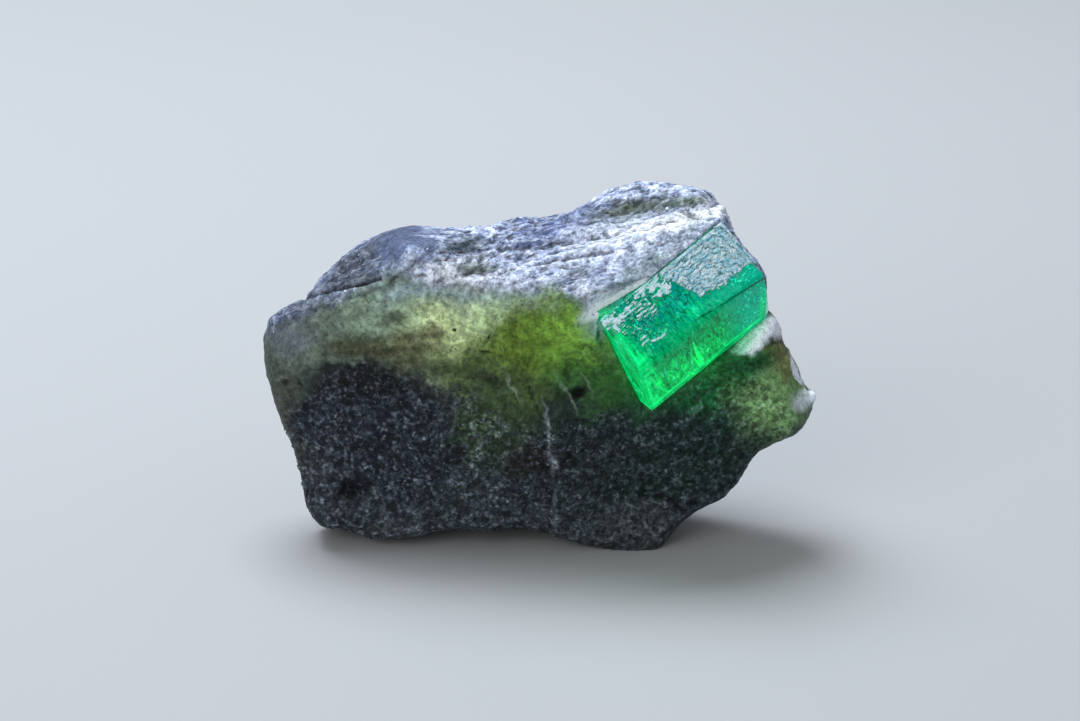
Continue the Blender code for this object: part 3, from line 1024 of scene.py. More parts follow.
@dataclass(frozen=True)
class Swell:
    """A low swelling of the rock's face, or a pit where its height is negative, in mm as seen.

    Attributes:
        middle: Its middle across and up.
        reach: Its half width and half height.
        turn: How far it is turned anticlockwise, in degrees.
        height: How high it is.
    """

    middle: tuple[float, float]
    reach: tuple[float, float]
    turn: float
    height: float

    def at(self, across: Array, up: Array) -> Array:
        """Its height at points as seen.

        Args:
            across: How far across they are.
            up: How far up they are.

        Returns:
            The height at each.
        """
        turn = math.radians(self.turn)
        right, above = across - self.middle[0], up - self.middle[1]
        along = (right * math.cos(turn) + above * math.sin(turn)) / self.reach[0]
        aside = (above * math.cos(turn) - right * math.sin(turn)) / self.reach[1]
        return self.height * rise(np.hypot(along, aside), 1.0, 0.0)


@dataclass(frozen=True)
class Line:
    """A crack or vein along a path, or a ledge that falls away over its shoulder, in mm as seen.

    Attributes:
        path: Its corners, across and up.
        width: Its half width.
        height: How high it is, or how deep where negative.
        shoulder: How far its left side, which alone is raised, takes to fall away, or 0 for a plain line.
    """

    path: tuple[tuple[float, float], ...]
    width: float
    height: float
    shoulder: float = 0.0

    def at(self, across: Array, up: Array) -> Array:
        """Its height at points as seen.

        Args:
            across: How far across they are.
            up: How far up they are.

        Returns:
            The height at each.
        """
        gap = np.full(len(across), 1e9)
        side = np.zeros(len(across))
        for (a, b), (c, d) in zip(self.path, self.path[1:]):
            length = math.hypot(c - a, d - b)
            ahead, left = (c - a) / length, (d - b) / length
            share = np.clip((across - a) * ahead + (up - b) * left, 0.0, length)
            away = np.hypot(across - a - share * ahead, up - b - share * left)
            sign = np.sign((up - b) * ahead - (across - a) * left)
            side = np.where(away < gap, sign, side)
            gap = np.minimum(gap, away)
        if not self.shoulder:
            return self.height * rise(gap, self.width, 0.0)
        step = rise(gap * side, -self.width, self.width)
        return self.height * step * rise(gap, self.shoulder, self.width)


# The lower edge of the frosted top, which is painted lit from above, and the dark grain's upper edge, across
# and up as seen.
LIT_FROST_EDGE = (
    (-24.0, 16.9), (-20.8, 18.5), (-16.9, 19.9), (-14.5, 21.1), (-12.1, 22.0), (-9.5, 21.4), (-6.5, 20.6),
    (-3.3, 20.9), (-0.7, 20.6), (1.8, 20.7), (3.1, 19.3), (4.2, 17.3), (5.8, 17.2), (8.7, 21.1), (16.9, 21.0),
    (17.6, 19.0), (18.6, 21.0), (24.0, 24.0),
)
GRAIN_EDGE = (
    (-24.0, 8.4), (-20.0, 11.0), (-17.6, 13.6), (-15.0, 14.3), (-10.3, 12.9), (-6.0, 11.4), (-1.7, 9.2),
    (0.5, 9.2), (5.2, 9.8), (9.0, 10.2), (12.0, 12.6), (15.7, 15.0), (18.4, 15.4), (20.6, 11.4), (24.0, 6.0),
)
SWELLS = (
    Swell((-11.5, 24.4), (3.2, 2.3), 8, 0.55),
    Swell((-16.7, 22.9), (0.9, 0.8), 0, 0.3),
    Swell((-15.2, 23.5), (0.8, 0.7), 0, 0.3),
    Swell((-16.0, 21.9), (0.8, 0.6), 0, 0.25),
    Swell((-14.5, 22.7), (0.9, 0.7), 0, 0.3),
    Swell((-17.5, 21.5), (0.8, 0.6), 0, 0.25),
    Swell((-13.5, 21.9), (0.7, 0.5), 20, 0.2),
    Swell((-5.1, 22.1), (2.3, 0.9), 5, -0.45),
    Swell((-5.4, 24.3), (2.6, 1.0), 10, -0.35),
    Swell((7.3, 27.3), (3.6, 1.2), 10, -0.6),
    Swell((12.7, 27.9), (1.8, 0.8), 5, -0.3),
    Swell((-16.6, 3.0), (1.6, 1.5), 20, -0.45),
    Swell((-7.2, 6.9), (1.2, 0.9), 0, -0.4),
    Swell((3.3, 11.6), (1.1, 0.6), -10, -0.5),
    Swell((-22.2, 12.5), (0.7, 0.5), 0, -0.3),
    Swell((23.5, 11.3), (0.8, 0.8), 0, 0.5),
    Swell((19.4, 17.3), (1.8, 1.2), 40, 0.45),
    Swell((21.2, 15.7), (0.7, 0.5), 30, -0.2),
    Swell((21.6, 12.9), (0.6, 2.2), 26, -0.25),
    Swell((13.4, 2.0), (1.2, 0.8), 50, -0.35),
)
LINES = (
    Line(((-1.5, 22.9), (1.8, 23.8), (5.2, 24.8), (9.6, 26.0), (13.0, 27.1), (15.8, 27.9)), 0.3, -0.55, 1.8),
    Line(((-3.4, 24.1), (0.5, 24.7), (5.7, 25.7)), 0.5, -0.4),
    Line(((-0.3, 22.9), (3.1, 23.3), (6.3, 23.9)), 0.4, -0.3),
    Line(((-20.8, 19.6), (-18.2, 20.3), (-16.9, 20.7), (-15.6, 20.9), (-13.8, 21.5)), 0.35, -0.7),
    Line(((-22.0, 18.0), (-18.2, 19.5), (-13.8, 20.9), (-11.5, 22.6)), 0.3, 0.3, 2.2),
    Line(
        ((-0.3, 11.1), (0.3, 9.9), (0.6, 8.4), (0.7, 6.7), (1.1, 4.9), (1.3, 3.2), (1.0, 0.6)), 0.35, 0.3, 2.0
    ),
    Line(((8.7, 2.5), (10.9, 2.6), (12.6, 1.3)), 0.3, -0.3),
    Line(((21.0, 15.6), (22.1, 13.8), (22.8, 11.7)), 0.5, 0.25),
    Line(((21.2, 16.2), (20.3, 15.9), (19.4, 15.5), (18.6, 14.9)), 0.2, -0.1),
)


# How far in front of the crystal's upper edge the rock stands, at places along the prism, and between which
# places it fades in and out at both ends, in mm.
LIP_HEIGHT = ((-8.0, 0.2), (-6.8, 0.4), (-2.6, 0.35), (-1.6, 0.12), (6.0, 0.12))
LIP_ENDS = (-8.4, -7.4, 5.2, 6.2)


@dataclass
class MatrixRock:
    """The lump: mica-rich rock with frosted layers on top, and a socket that fits the crystal.

    Attributes:
        cell: The remeshed cell, in mm.
        rounds: How many times the shape is smoothed.
        seam: The gap left between rock and crystal, in mm.
        made_seam: The same gap as the solids have it, in mm.
        fitted: How far from the crystal the rock is still moved to close the gap, in mm.
        foot: How far above the ground the underside is pressed level, in mm.
        waves: How high its widest waves are, in mm.
        bumps: How high the smaller ones are, in mm.
        grit: How high the smallest are, in mm.
        layers: How high the frosted layers are, in mm.
        scales: How high the scales on them are, in mm.
        lumps: How high the rounded grains at the upper left are, in mm.
        piece: The finished lump.
        lit_frosted: How frosted each of its vertices is, and so how strongly it is painted lit from above.
        layered: How plainly the layers show at each vertex.
        grainy: How plainly the dark grain shows at each vertex.
    """

    cell: float = 0.25
    rounds: int = 12
    seam: float = 0.03
    made_seam: float = 0.3
    fitted: float = 1.2
    foot: float = 0.12
    waves: float = 0.15
    bumps: float = 0.075
    grit: float = 0.05
    layers: float = 0.2
    scales: float = 0.22
    lumps: float = 0.3
    piece: Object = None
    lit_frosted: Array = None
    layered: Array = None
    grainy: Array = None

    def build(self, prism: Prism) -> None:
        """Makes the lump.

        Args:
            prism: The crystal it holds.
        """
        mesh = merged_copy("matrix_rock")
        low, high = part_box("matrix_rock")
        mesh = remeshed(mesh, self.cell)
        points = self.smoothed(mesh, prism)
        move_to(mesh, points)
        outward = normals(mesh)
        height = self.relief(FRONT.local(points), outward @ FRONT.forth[:3, :3] / MM)
        gap, _ = prism.distance(points)
        height *= rise(gap, 0.3, 1.3) * rise(points[:, 2] / MM, 0.0, 0.8)
        points = points + outward * height[:, None] * MM
        points = self.seated(self.lipped(points), prism)
        points[:, 2] = np.where(points[:, 2] < low.z + self.foot * MM, low.z, points[:, 2])
        points = np.clip(points, np.array(low), np.array(high))
        move_to(mesh, points)
        self.describe(mesh, points, prism)
        self.piece = place(mesh, "rock", RockFinish().build())

    def smoothed(self, mesh: Mesh, prism: Prism) -> Array:
        """The remeshed shape without its facets, but sharp where it meets the crystal and the ground.

        Args:
            mesh: The remeshed lump.
            prism: The crystal.

        Returns:
            The new vertex places in metres.
        """
        points = coordinates(mesh)
        beside = Neighbours(mesh)
        gap, _ = prism.distance(points)
        weight = ((0.4 + 0.3 * rise(gap, 0.5, 1.4)) * rise(points[:, 2] / MM, 0.1, 0.6))[:, None]
        for _ in range(self.rounds):
            points = points + weight * (beside.mean(points) - points)
        return points

    def relief(self, points: Array, outward: Array) -> Array:
        """The rock's surface height: grain all over, layers on top, and its own pits, cracks and ledges.

        Args:
            points: The surface in front space, in mm.
            outward: The outward way there, in front space.

        Returns:
            The height at each point, in mm.
        """
        across, up = as_seen(points)
        edge = np.interp(across, *zip(*LIT_FROST_EDGE)) + 0.9 * ripple(points, 2.6, 5, 4)
        ahead = rise(points[:, 1], 0.5, -2.5)
        # On the back only faces that look upwards are frosted, so the frost there is painted light from above.
        above = rise(outward[:, 2], 0.35, 0.75) * rise(across, 19.6, 18.4)
        self.lit_frosted = np.maximum(rise(up - edge, -0.9, 0.7) * ahead, above * (1.0 - ahead))
        top = np.interp(across, *zip(*GRAIN_EDGE)) + 0.8 * ripple(points, 2.0, 6, 4)
        grain = np.maximum(rise(up - top, 0.9, -0.9), 0.7 * (1.0 - ahead))
        self.grainy = np.clip((1.0 - self.lit_frosted) * grain, 0, 1)
        layered = points.copy()
        layered[:, 0] = points[:, 0] * math.cos(LAYER_CLIMB) + points[:, 2] * math.sin(LAYER_CLIMB)
        layered[:, 2] = points[:, 2] * math.cos(LAYER_CLIMB) - points[:, 0] * math.sin(LAYER_CLIMB)
        layered[:, 2] += 0.7 * ripple(points, 3.0, 8, 3)
        layers = 0.5 - np.abs(ripple(layered, (3.6, 3.6, 1.1), 9, 4))
        scales = ripple(layered, (1.1, 1.1, 0.65), 12, 4)
        knob = 1.0 - 0.9 * rise(np.hypot((across + 11.5) / 3.1, (up - 24.7) / 1.9), 1.2, 0.85)
        ends = rise(across, 18.6, 16.8)
        shown = np.maximum(rise(across, -12.8, -8.6) * ends, 0.25 * ends + 0.6 * (1.0 - ahead))
        self.layered = self.lit_frosted * knob * shown
        height = self.waves * ripple(points, 4.0, 2, 3) + self.bumps * ripple(points, 1.1, 3, 3) * knob
        height += self.grit * ripple(points, 0.42, 4, 2) * knob
        height += self.layered * (self.layers * layers + self.scales * scales)
        rounded = (0.6 - lumps(points, 1.15)) * self.lumps * rise(across, -10.5, -13.0)
        height += self.lit_frosted * knob * rounded
        facing = rise(-outward[:, 1], -0.1, 0.2)
        for feature in SWELLS + LINES:
            height += facing * feature.at(across, up)
        return height

    def lip(self, points: Array) -> tuple[Array, Array, Array]:
        """How points stand to the crystal's upper edge, which the rock rises to.

        Args:
            points: The surface in metres.

        Returns:
            How far along the prism they are, how far in front of the edge, and how far away from the face.
        """
        inside = CRYSTAL.local(points)
        above, out = inside[:, 1] - UPPER_EDGE[0], inside[:, 2] - UPPER_EDGE[1]
        front = out * math.sin(TOP_FACE_TURN) - above * math.cos(TOP_FACE_TURN)
        off = above * math.sin(TOP_FACE_TURN) + out * math.cos(TOP_FACE_TURN)
        return inside[:, 0], front, off

    def lipped(self, points: Array) -> Array:
        """The surface with its rim raised to the crystal's upper edge.

        Args:
            points: The surface in metres.

        Returns:
            The raised surface.
        """
        along, front, off = self.lip(points)
        close = (off < 0.5) & (off > -0.5) & (front > -4.0) & (front < 1.0)
        rim = self.farthest(along, front, close, np.arange(-8.0, 6.01, 0.5))
        wanted = np.interp(along, *zip(*LIP_HEIGHT))
        low = np.interp(along, LIP_ENDS, (-3.5, -0.4, -0.4, -3.5))
        high = np.interp(along, LIP_ENDS, (1.0, 0.0, 0.0, 1.0))
        lift = np.clip(wanted - rim, 0.0, 3.0) * rise(off, 2.8, 0.5) * rise(off, low, high)
        lift = lift * rise(front, -5.4, -2.6) * rise(along, -10.8, -7.6) * rise(along, 8.0, 6.2)
        ahead = np.array((0.0, -math.cos(TOP_FACE_TURN), math.sin(TOP_FACE_TURN)))
        return points + lift[:, None] * (ahead @ CRYSTAL.forth[:3, :3].T)

    def face_height(self, above: Array) -> Array:
        """How far out of the prism's middle its two front faces are.

        Args:
            above: Places up the prism, in mm.

        Returns:
            The nearer face's height at each, in mm.
        """
        turns = [math.radians(face.value) for face in Face]
        heights = [(FACE_REACH - above * math.sin(turn)) / math.cos(turn) for turn in turns]
        return np.minimum(*heights)

    def farthest(self, place_at: Array, value: Array, close: Array, bins: Array) -> Array:
        """The largest value near each place.

        Args:
            place_at: Where each point is along the bins.
            value: The value of each point.
            close: Which points count.
            bins: The places to look at.

        Returns:
            The largest value near each point's place.
        """
        most = []
        for middle in bins:
            here = close & (np.abs(place_at - middle) < 0.45)
            most.append(value[here].max() if here.any() else 0.0)
        return np.interp(place_at, bins, most)

    def seated(self, points: Array, prism: Prism) -> Array:
        """The lump with its socket closed up to the crystal.

        Args:
            points: The surface in metres.
            prism: The crystal.

        Returns:
            The surface, nowhere nearer to the crystal than the seam.
        """
        gap, away = prism.distance(points)
        beyond = np.maximum(gap - self.made_seam, 0.0)
        wanted = self.seam + beyond * (self.fitted - self.seam) / (self.fitted - self.made_seam)
        shift = np.where(gap < self.fitted, wanted - gap, 0.0)
        return points + away * shift[:, None] * MM

    def describe(self, mesh: Mesh, points: Array, prism: Prism) -> None:
        """Stores what the finish reads: the frosted top painted lit from above, crests and hollows for painted
        light and shade, the crystal's painted green light, the ledge, and the socket walls painted pale.

        Args:
            mesh: The finished lump.
            points: Its vertices in metres.
            prism: The crystal.
        """
        beside = Neighbours(mesh)
        bend = ((points - beside.mean(points)) * normals(mesh)).sum(axis=1, keepdims=True) / MM
        for _ in range(2):
            bend = 0.5 * bend + 0.5 * beside.mean(bend)
        bend = bend[:, 0]
        gap, _ = prism.distance(points)
        # The finish paints the crests lighter and the hollows darker.
        keep(mesh, "crest_light", rise(bend, 0.002, 0.02))
        keep(mesh, "lit_frost", self.lit_frosted)
        keep(mesh, "layered", self.layered)
        along, front, off = self.lip(points)
        # Where the finish lays the white crust and its painted highlight along the crystal's upper edge.
        edge = rise(off + 0.15 * ripple(FRONT.local(points), 0.8, 15, 3), 0.55, 0.35) * rise(off, -0.5, -0.2)
        edge = edge * rise(front, -2.6, -1.6) * rise(along, -8.6, -8.0) * rise(along, -1.6, -2.6)
        keep(mesh, "ledge", edge)
        keep(mesh, "hollow_shade", rise(bend, -0.002, -0.022) * (1.0 - edge))
        # Where the finish paints the crystal's green light on the rock.
        keep(mesh, "crystal_green_light", rise(gap, 2.2, 0.2))
        keep(mesh, "grainy", self.grainy)
        across, _ = as_seen(FRONT.local(points))
        keep(mesh, "specked", self.grainy * rise(across, 12.5, 7.5) * rise(points[:, 2] / MM, 0.4, 0.9))
        # Where the finish paints the walls behind the crystal pale.
        inside = CRYSTAL.local(points)
        sheltered = rise(inside[:, 2] - self.face_height(inside[:, 1]), -0.6, -1.2)
        sheltered = sheltered * rise(inside[:, 0], -7.6, -6.6)
        keep(mesh, "socket", rise(gap, 0.12, 0.05) * sheltered)


@dataclass(frozen=True)
class EmeraldFinish:
    """Clear green crystal: light passes and is absorbed on its way, it shines with a painted glow, and the
    faces are grooved and etched.

    Attributes:
        upper: The colour of its milky share on the upper face.
        lower: The same on the lower face.
        right: The same at its right end.
        deep: The colour of darker clouds in it.
        bright: The colour where light gathers, along edges.
        spark: The colour of the flaws that catch light.
        absorbed: The colour that is left of white light.
        sheen: The tint of what its faces reflect.
        density: How fast the rest is absorbed, for each metre.
        clarity: The share of light that passes.
        glow: How strongly it shines with a painted glow, an emission that stands in for light caught inside.
        contour: The lines of its etched face.
        crack: The long crack.
        band: The pale band beside the crack.
        bend: Its index of refraction.
        gloss: Its specular level.
    """

    upper: Colour = paint(0, 182, 184)
    lower: Colour = paint(0, 204, 100)
    right: Colour = paint(0, 198, 186)
    deep: Colour = paint(0, 98, 60)
    bright: Colour = paint(20, 245, 140)
    spark: Colour = paint(70, 245, 190)
    absorbed: Colour = (0.01, 0.94, 0.55)
    sheen: Colour = (0.12, 1.0, 0.62)
    density: float = 300.0
    clarity: float = 0.45
    glow: float = 0.19
    contour: Colour = paint(0, 100, 92)
    crack: Colour = paint(0, 74, 52)
    band: Colour = paint(60, 226, 190)
    bend: float = 1.58
    gloss: float = 0.12

    def build(self) -> Material:
        """Makes the material.

        Returns:
            The material.
        """
        finish, wires, shader = new_finish("clear_emerald")
        point = in_space(wires, CRYSTAL)
        split = wires.node("SeparateXYZ", {0: point}).outputs
        cloud = wires.haze(wires.vector("MULTIPLY", point, (0.5, 1.1, 1.1)), 0.9, 6.0, 1.2)
        moved = wires.shaken(point, 1.4, 4.0, 1.5, wires.vector("MULTIPLY", point, (1.3, 0.9, 0.9)))
        cells = wires.node("TexVoronoi", {"Vector": moved, "Scale": 1.9}).outputs["Color"]
        tone = wires.node("SeparateColor", {0: cells}).outputs[0]
        steps = wires.haze(wires.vector("MULTIPLY", point, (0.45, 0.9, 0.9)), 0.55, 4.0, 0.5)
        steps = wires.sum("FRACT", wires.product(steps, 13.0))
        thin = wires.ramp(wires.sum("ABSOLUTE", wires.sum("SUBTRACT", steps, 0.5)), 0.12, 0.02)
        thin = wires.product(thin, wires.attribute("etched"))
        streaky = wires.ramp(wires.haze(point, 2.6, 4.0, 0.8), 0.36, 0.66)
        colour = wires.over(
            self.flawed(wires, point, self.zoned(wires, split["X"], split["Y"]), cloud, tone),
            (wires.ramp(split["X"], 0.0, 4.0, 0.0, 0.5), self.right),
            (thin, self.contour),
            (wires.product(wires.attribute("crack"), 0.85), self.crack),
            (wires.product(wires.attribute("band"), streaky), self.band),
            (wires.attribute("rim"), self.bright),
        )
        # Painted glow: the emission is made stronger on the lower face and much stronger at the left end.
        low = wires.ramp(split["Y"], -2.4, -4.3, 0.95, 1.75)
        low = wires.product(low, wires.ramp(split["X"], -2.4, -0.6, 1.0, 0.68))
        glow_boost = wires.sum("MAXIMUM", low, wires.ramp(split["X"], -5.4, -7.4, 0.8, 3.0))
        grooves = wires.haze(wires.vector("MULTIPLY", point, (0.35, 3.2, 3.2)), 1.0, 3.0)
        height = wires.sum("ADD", grooves, wires.product(wires.haze(point, 2.4, 3.0), 0.7))
        height = wires.sum("SUBTRACT", height, thin)
        height = wires.sum("ADD", height, wires.product(tone, 0.3))
        looks = {
            "Base Color": colour,
            "Emission Color": wires.brighter(colour, glow_boost),
            "Emission Strength": self.glow,
            "Roughness": wires.ramp(cloud, 0.35, 0.7, 0.04, 0.2),
            "Normal": wires.bump(height, 0.5, 0.0001),
            "Transmission Weight": self.clarity,
            "IOR": self.bend,
            "Specular IOR Level": self.gloss,
            "Specular Tint": self.sheen,
        }
        wires.feed_all(shader, looks)
        inside = wires.node("VolumeAbsorption", {"Color": self.absorbed, "Density": self.density})
        wires.feed(finish.node_tree.nodes["Material Output"].inputs["Volume"], inside.outputs[0])
        return finish

    def zoned(self, wires: Wires, along: Socket, up: Socket) -> Socket:
        """The crystal's body colour, which changes along it and up it.

        Args:
            wires: The crystal's wires.
            along: How far along the prism.
            up: How far up it.

        Returns:
            The colour.
        """
        shaded = wires.product(
            wires.ramp(along, -1.0, -4.0, 0.0, 0.3),
            wires.ramp(up, -2.6, -1.6),
            wires.ramp(along, -6.9, -6.0),
        )
        return wires.over(
            self.lower,
            (wires.ramp(up, -4.4, 1.6), self.upper),
            (wires.ramp(along, -1.0, 4.5, 0.0, 0.6), self.right),
            (wires.ramp(along, -5.0, -7.0, 0.0, 0.8), self.lower),
            (shaded, self.deep),
        )

    def flawed(self, wires: Wires, point: Socket, colour: Socket, cloud: Socket, tone: Socket) -> Socket:
        """A body colour with dark clouds, bright threads and flaws in it.

        Args:
            wires: The crystal's wires.
            point: The point in crystal space.
            colour: The body colour.
            cloud: Soft noise.
            tone: A random number for each clear cell between flaws.

        Returns:
            The colour.
        """
        threads = wires.haze(wires.vector("MULTIPLY", point, (2.6, 0.55, 0.55)), 1.6, 5.0, 0.4)
        lit = wires.sum("ABSOLUTE", wires.sum("SUBTRACT", threads, 0.5))
        flaws = wires.haze(wires.vector("MULTIPLY", point, (1.3, 0.45, 0.45)), 1.7, 6.0, 1.0)
        return wires.over(
            colour,
            (wires.ramp(cloud, 0.52, 0.72, 0.0, 0.7), self.deep),
            (wires.ramp(lit, 0.035, 0.0, 0.0, 0.95), self.bright),
            (wires.ramp(tone, 0.5, 1.0, 0.0, 0.35), self.deep),
            (wires.ramp(flaws, 0.47, 0.34, 0.0, 0.7), self.deep),
            (wires.ramp(flaws, 0.56, 0.72, 0.0, 0.75), self.spark),
        )


@dataclass(frozen=True)
class CrustFinish:
    """White, faintly blue etched crust with dark green lines between its layers.

    Attributes:
        pale: The sheet where it is bright.
        shade: The sheet where it is dull.
        deep: The lines between its layers.
        patch: The loose patches where they are thick.
        tint: The loose patches where they are dull.
        thin: Their thin edges, where the crystal shows through.
    """

    pale: Colour = paint(232, 250, 255)
    shade: Colour = paint(140, 208, 230)
    deep: Colour = paint(8, 104, 112)
    patch: Colour = paint(228, 248, 255)
    tint: Colour = paint(112, 222, 214)
    thin: Colour = paint(16, 170, 136)

    def build(self) -> Material:
        """Makes the material.

        Returns:
            The material.
        """
        finish, wires, shader = new_finish("etched_crust")
        point = in_space(wires, CRYSTAL)
        sheet = wires.attribute("sheet")
        fine = effect(wires, Effect.SUGAR_GRAIN, {"Point": point, "Grains per mm": 6.0, "Raggedness": 0.3})
        cloud = wires.haze(wires.vector("MULTIPLY", point, (0.7, 1.4, 1.0)), 3.4, 5.0, 0.8)
        patched = wires.blend(wires.ramp(cloud, 0.36, 0.56), self.tint, self.patch)
        patched = wires.blend(wires.ramp(wires.attribute("patched"), 0.2, 0.7), self.thin, patched)
        moved = wires.shaken(point, 1.1, 3.0, 0.9, wires.vector("MULTIPLY", point, (0.8, 1.5, 1.0)))
        scales = wires.node("TexVoronoi", {"Vector": moved, "Scale": 2.3}, feature="DISTANCE_TO_EDGE")
        joint = wires.ramp(scales.outputs["Distance"], 0.08, 0.02, 0.0, 0.35)
        colour = wires.over(
            patched,
            (sheet, wires.blend(wires.ramp(cloud, 0.4, 0.6), self.shade, self.pale)),
            (wires.product(joint, sheet), self.deep),
            (wires.ramp(fine.outputs["Grain"], 0.2, 0.0, 0.0, 0.5), self.deep),
            (wires.attribute("line"), self.deep),
        )
        height = wires.sum("SUBTRACT", fine.outputs["Height"], wires.product(joint, 0.8))
        looks = {
            "Base Color": colour,
            "Roughness": wires.ramp(fine.outputs["Grain"], 0.0, 1.0, 0.25, 0.6),
            "Normal": wires.bump(height, 0.5, 0.00006),
        }
        wires.feed_all(shader, looks)
        return finish


@dataclass(frozen=True)
class SealedFinish:
    """Something sealed inside the crystal, made bright by a painted glow.

    Attributes:
        name: The material's name.
        light: Its brighter colour.
        dark: Its darker colour.
        glow: How strongly it shines with a painted glow, an emission that stands in for the light caught in
            it.
    """

    name: str
    light: Colour
    dark: Colour
    glow: float

    def build(self) -> Material:
        """Makes the material.

        Returns:
            The material.
        """
        finish, wires, shader = new_finish(self.name)
        cloud = wires.haze(in_space(wires, CRYSTAL), 2.2, 3.0)
        colour = wires.blend(wires.ramp(cloud, 0.35, 0.65), self.dark, self.light)
        rough = wires.ramp(cloud, 0.3, 0.7, 0.25, 0.6)
        # Painted glow: the colour is emitted as well.
        looks = {"Base Color": colour, "Emission Color": colour, "Roughness": rough}
        wires.feed_all(shader, looks | {"Emission Strength": self.glow})
        return finish


class Face(Enum):
    """The prism's two faces that show, by how far each is turned about the prism, in degrees."""

    UPPER = 5.6
    LOWER = -54.4


def on_face(face: Face, along: Array, above: Array, height: Array) -> Array:
    """Points on a face of the prism, over it or under it.

    Args:
        face: The face.
        along: How far along the prism, in mm.
        above: How far up the face from its middle line, in mm.
        height: How far out of the face, in mm.

    Returns:
        The points in metres.
    """
    turn = math.radians(face.value)
    out = FACE_REACH + height
    up = above * math.cos(turn) + out * math.sin(turn)
    forward = out * math.cos(turn) - above * math.sin(turn)
    return CRYSTAL.metres(np.stack(np.broadcast_arrays(along, up, forward), axis=-1))


def woven(points: Array, kept: Array, name: str) -> tuple[Mesh, list[int]]:
    """A mesh of the squares of a grid that have a kept corner.

    Args:
        points: The grid's points in metres, row after row.
        kept: Which of them are kept, in rows and columns.
        name: The mesh's name.

    Returns:
        The mesh, and which grid point each of its vertices is.
    """
    rows, columns = kept.shape
    index = np.arange(rows * columns).reshape(rows, columns)
    solid = bmesh.new()
    made: dict[int, bmesh.types.BMVert] = {}
    for i in range(rows - 1):
        for j in range(columns - 1):
            if kept[i : i + 2, j : j + 2].any():
                corners = (index[i, j], index[i + 1, j], index[i + 1, j + 1], index[i, j + 1])
                for corner in corners:
                    if corner not in made:
                        made[corner] = solid.verts.new(points[corner])
                solid.faces.new([made[corner] for corner in corners])
    return to_mesh(solid, name), list(made)


@dataclass(frozen=True)
class Needle:
    """A thin splinter under a face.

    Attributes:
        face: The face it lies under.
        start: Where it starts, along and up the face, in mm.
        angle: Which way it runs, in degrees from along the prism.
        length: How long it is, in mm.
        wide: How wide it is where it swells, in mm.
        swell: Where it is widest, as a share of its length.
        depth: How deep its two ends lie, in mm.
    """

    face: Face
    start: tuple[float, float]
    angle: float
    length: float
    wide: float
    swell: float = 0.4
    depth: tuple[float, float] = (0.12, 0.3)

    def add(self, solid: bmesh.types.BMesh) -> None:
        """Adds the splinter, of eight faces.

        Args:
            solid: The mesh that takes it.
        """
        turn = math.radians(self.angle)
        ahead = np.array((math.cos(turn), math.sin(turn)))
        across = np.array((-math.sin(turn), math.cos(turn))) * self.wide / 2
        first = np.array(self.start)
        middle = first + ahead * self.length * self.swell
        deep = self.depth[0] + (self.depth[1] - self.depth[0]) * self.swell
        spots = [
            (*first, -self.depth[0]),
            (*(middle + across), -deep),
            (*middle, -deep + self.wide * 0.2),
            (*(middle - across), -deep),
            (*middle, -deep - self.wide * 0.2),
            (*(first + ahead * self.length), -self.depth[1]),
        ]
        places = on_face(self.face, *np.array(spots).T)
        corners = [solid.verts.new(place_of) for place_of in places]
        for one, two in ((1, 2), (2, 3), (3, 4), (4, 1)):
            solid.faces.new((corners[0], corners[two], corners[one]))
            solid.faces.new((corners[5], corners[one], corners[two]))


# The lower edge of the crust's sheet: places along the upper face, and how far up it, in mm.
SHEET_EDGE = ((-1.2, 2.6), (-0.7, 1.9), (0.5, -0.8), (2.0, -1.2), (3.5, -1.3), (6.0, -1.7))
# The crust's loose patches: their middles along and up the face, and half their widths and heights, in mm.
CRUST_SPOTS = (
    (-2.1, 2.3, 1.3, 0.65), (-1.6, 1.6, 0.7, 0.45), (-3.2, 2.5, 0.8, 0.16), (-5.0, 2.1, 1.2, 0.09),
    (-4.7, 1.75, 1.1, 0.08), (-4.5, 1.4, 0.9, 0.09), (-4.3, 1.05, 0.7, 0.07), (-3.6, 0.9, 0.5, 0.06),
    (-6.9, 2.4, 0.8, 0.5), (-6.3, 1.9, 0.5, 0.25), (-6.8, 1.4, 0.2, 0.3), (-4.9, -1.4, 0.3, 0.14),
    (-4.1, -1.5, 0.2, 0.1), (-5.6, -1.0, 0.3, 0.1), (-5.3, -0.6, 0.4, 0.07),
)
# The clusters of crumbs: their middles and spreads on a face, in mm, their numbers, and the face.
CRUMB_CLUSTERS = (
    ((4.3, 0.6), (1.0, 1.2), 60, Face.LOWER),
    ((4.4, -1.9), (0.9, 0.5), 40, Face.UPPER),
    ((-4.8, 0.6), (1.3, 1.2), 60, Face.UPPER),
    ((-4.6, -1.4), (0.7, 0.4), 22, Face.UPPER),
    ((-1.0, -0.5), (3.0, 1.0), 40, Face.LOWER),
)


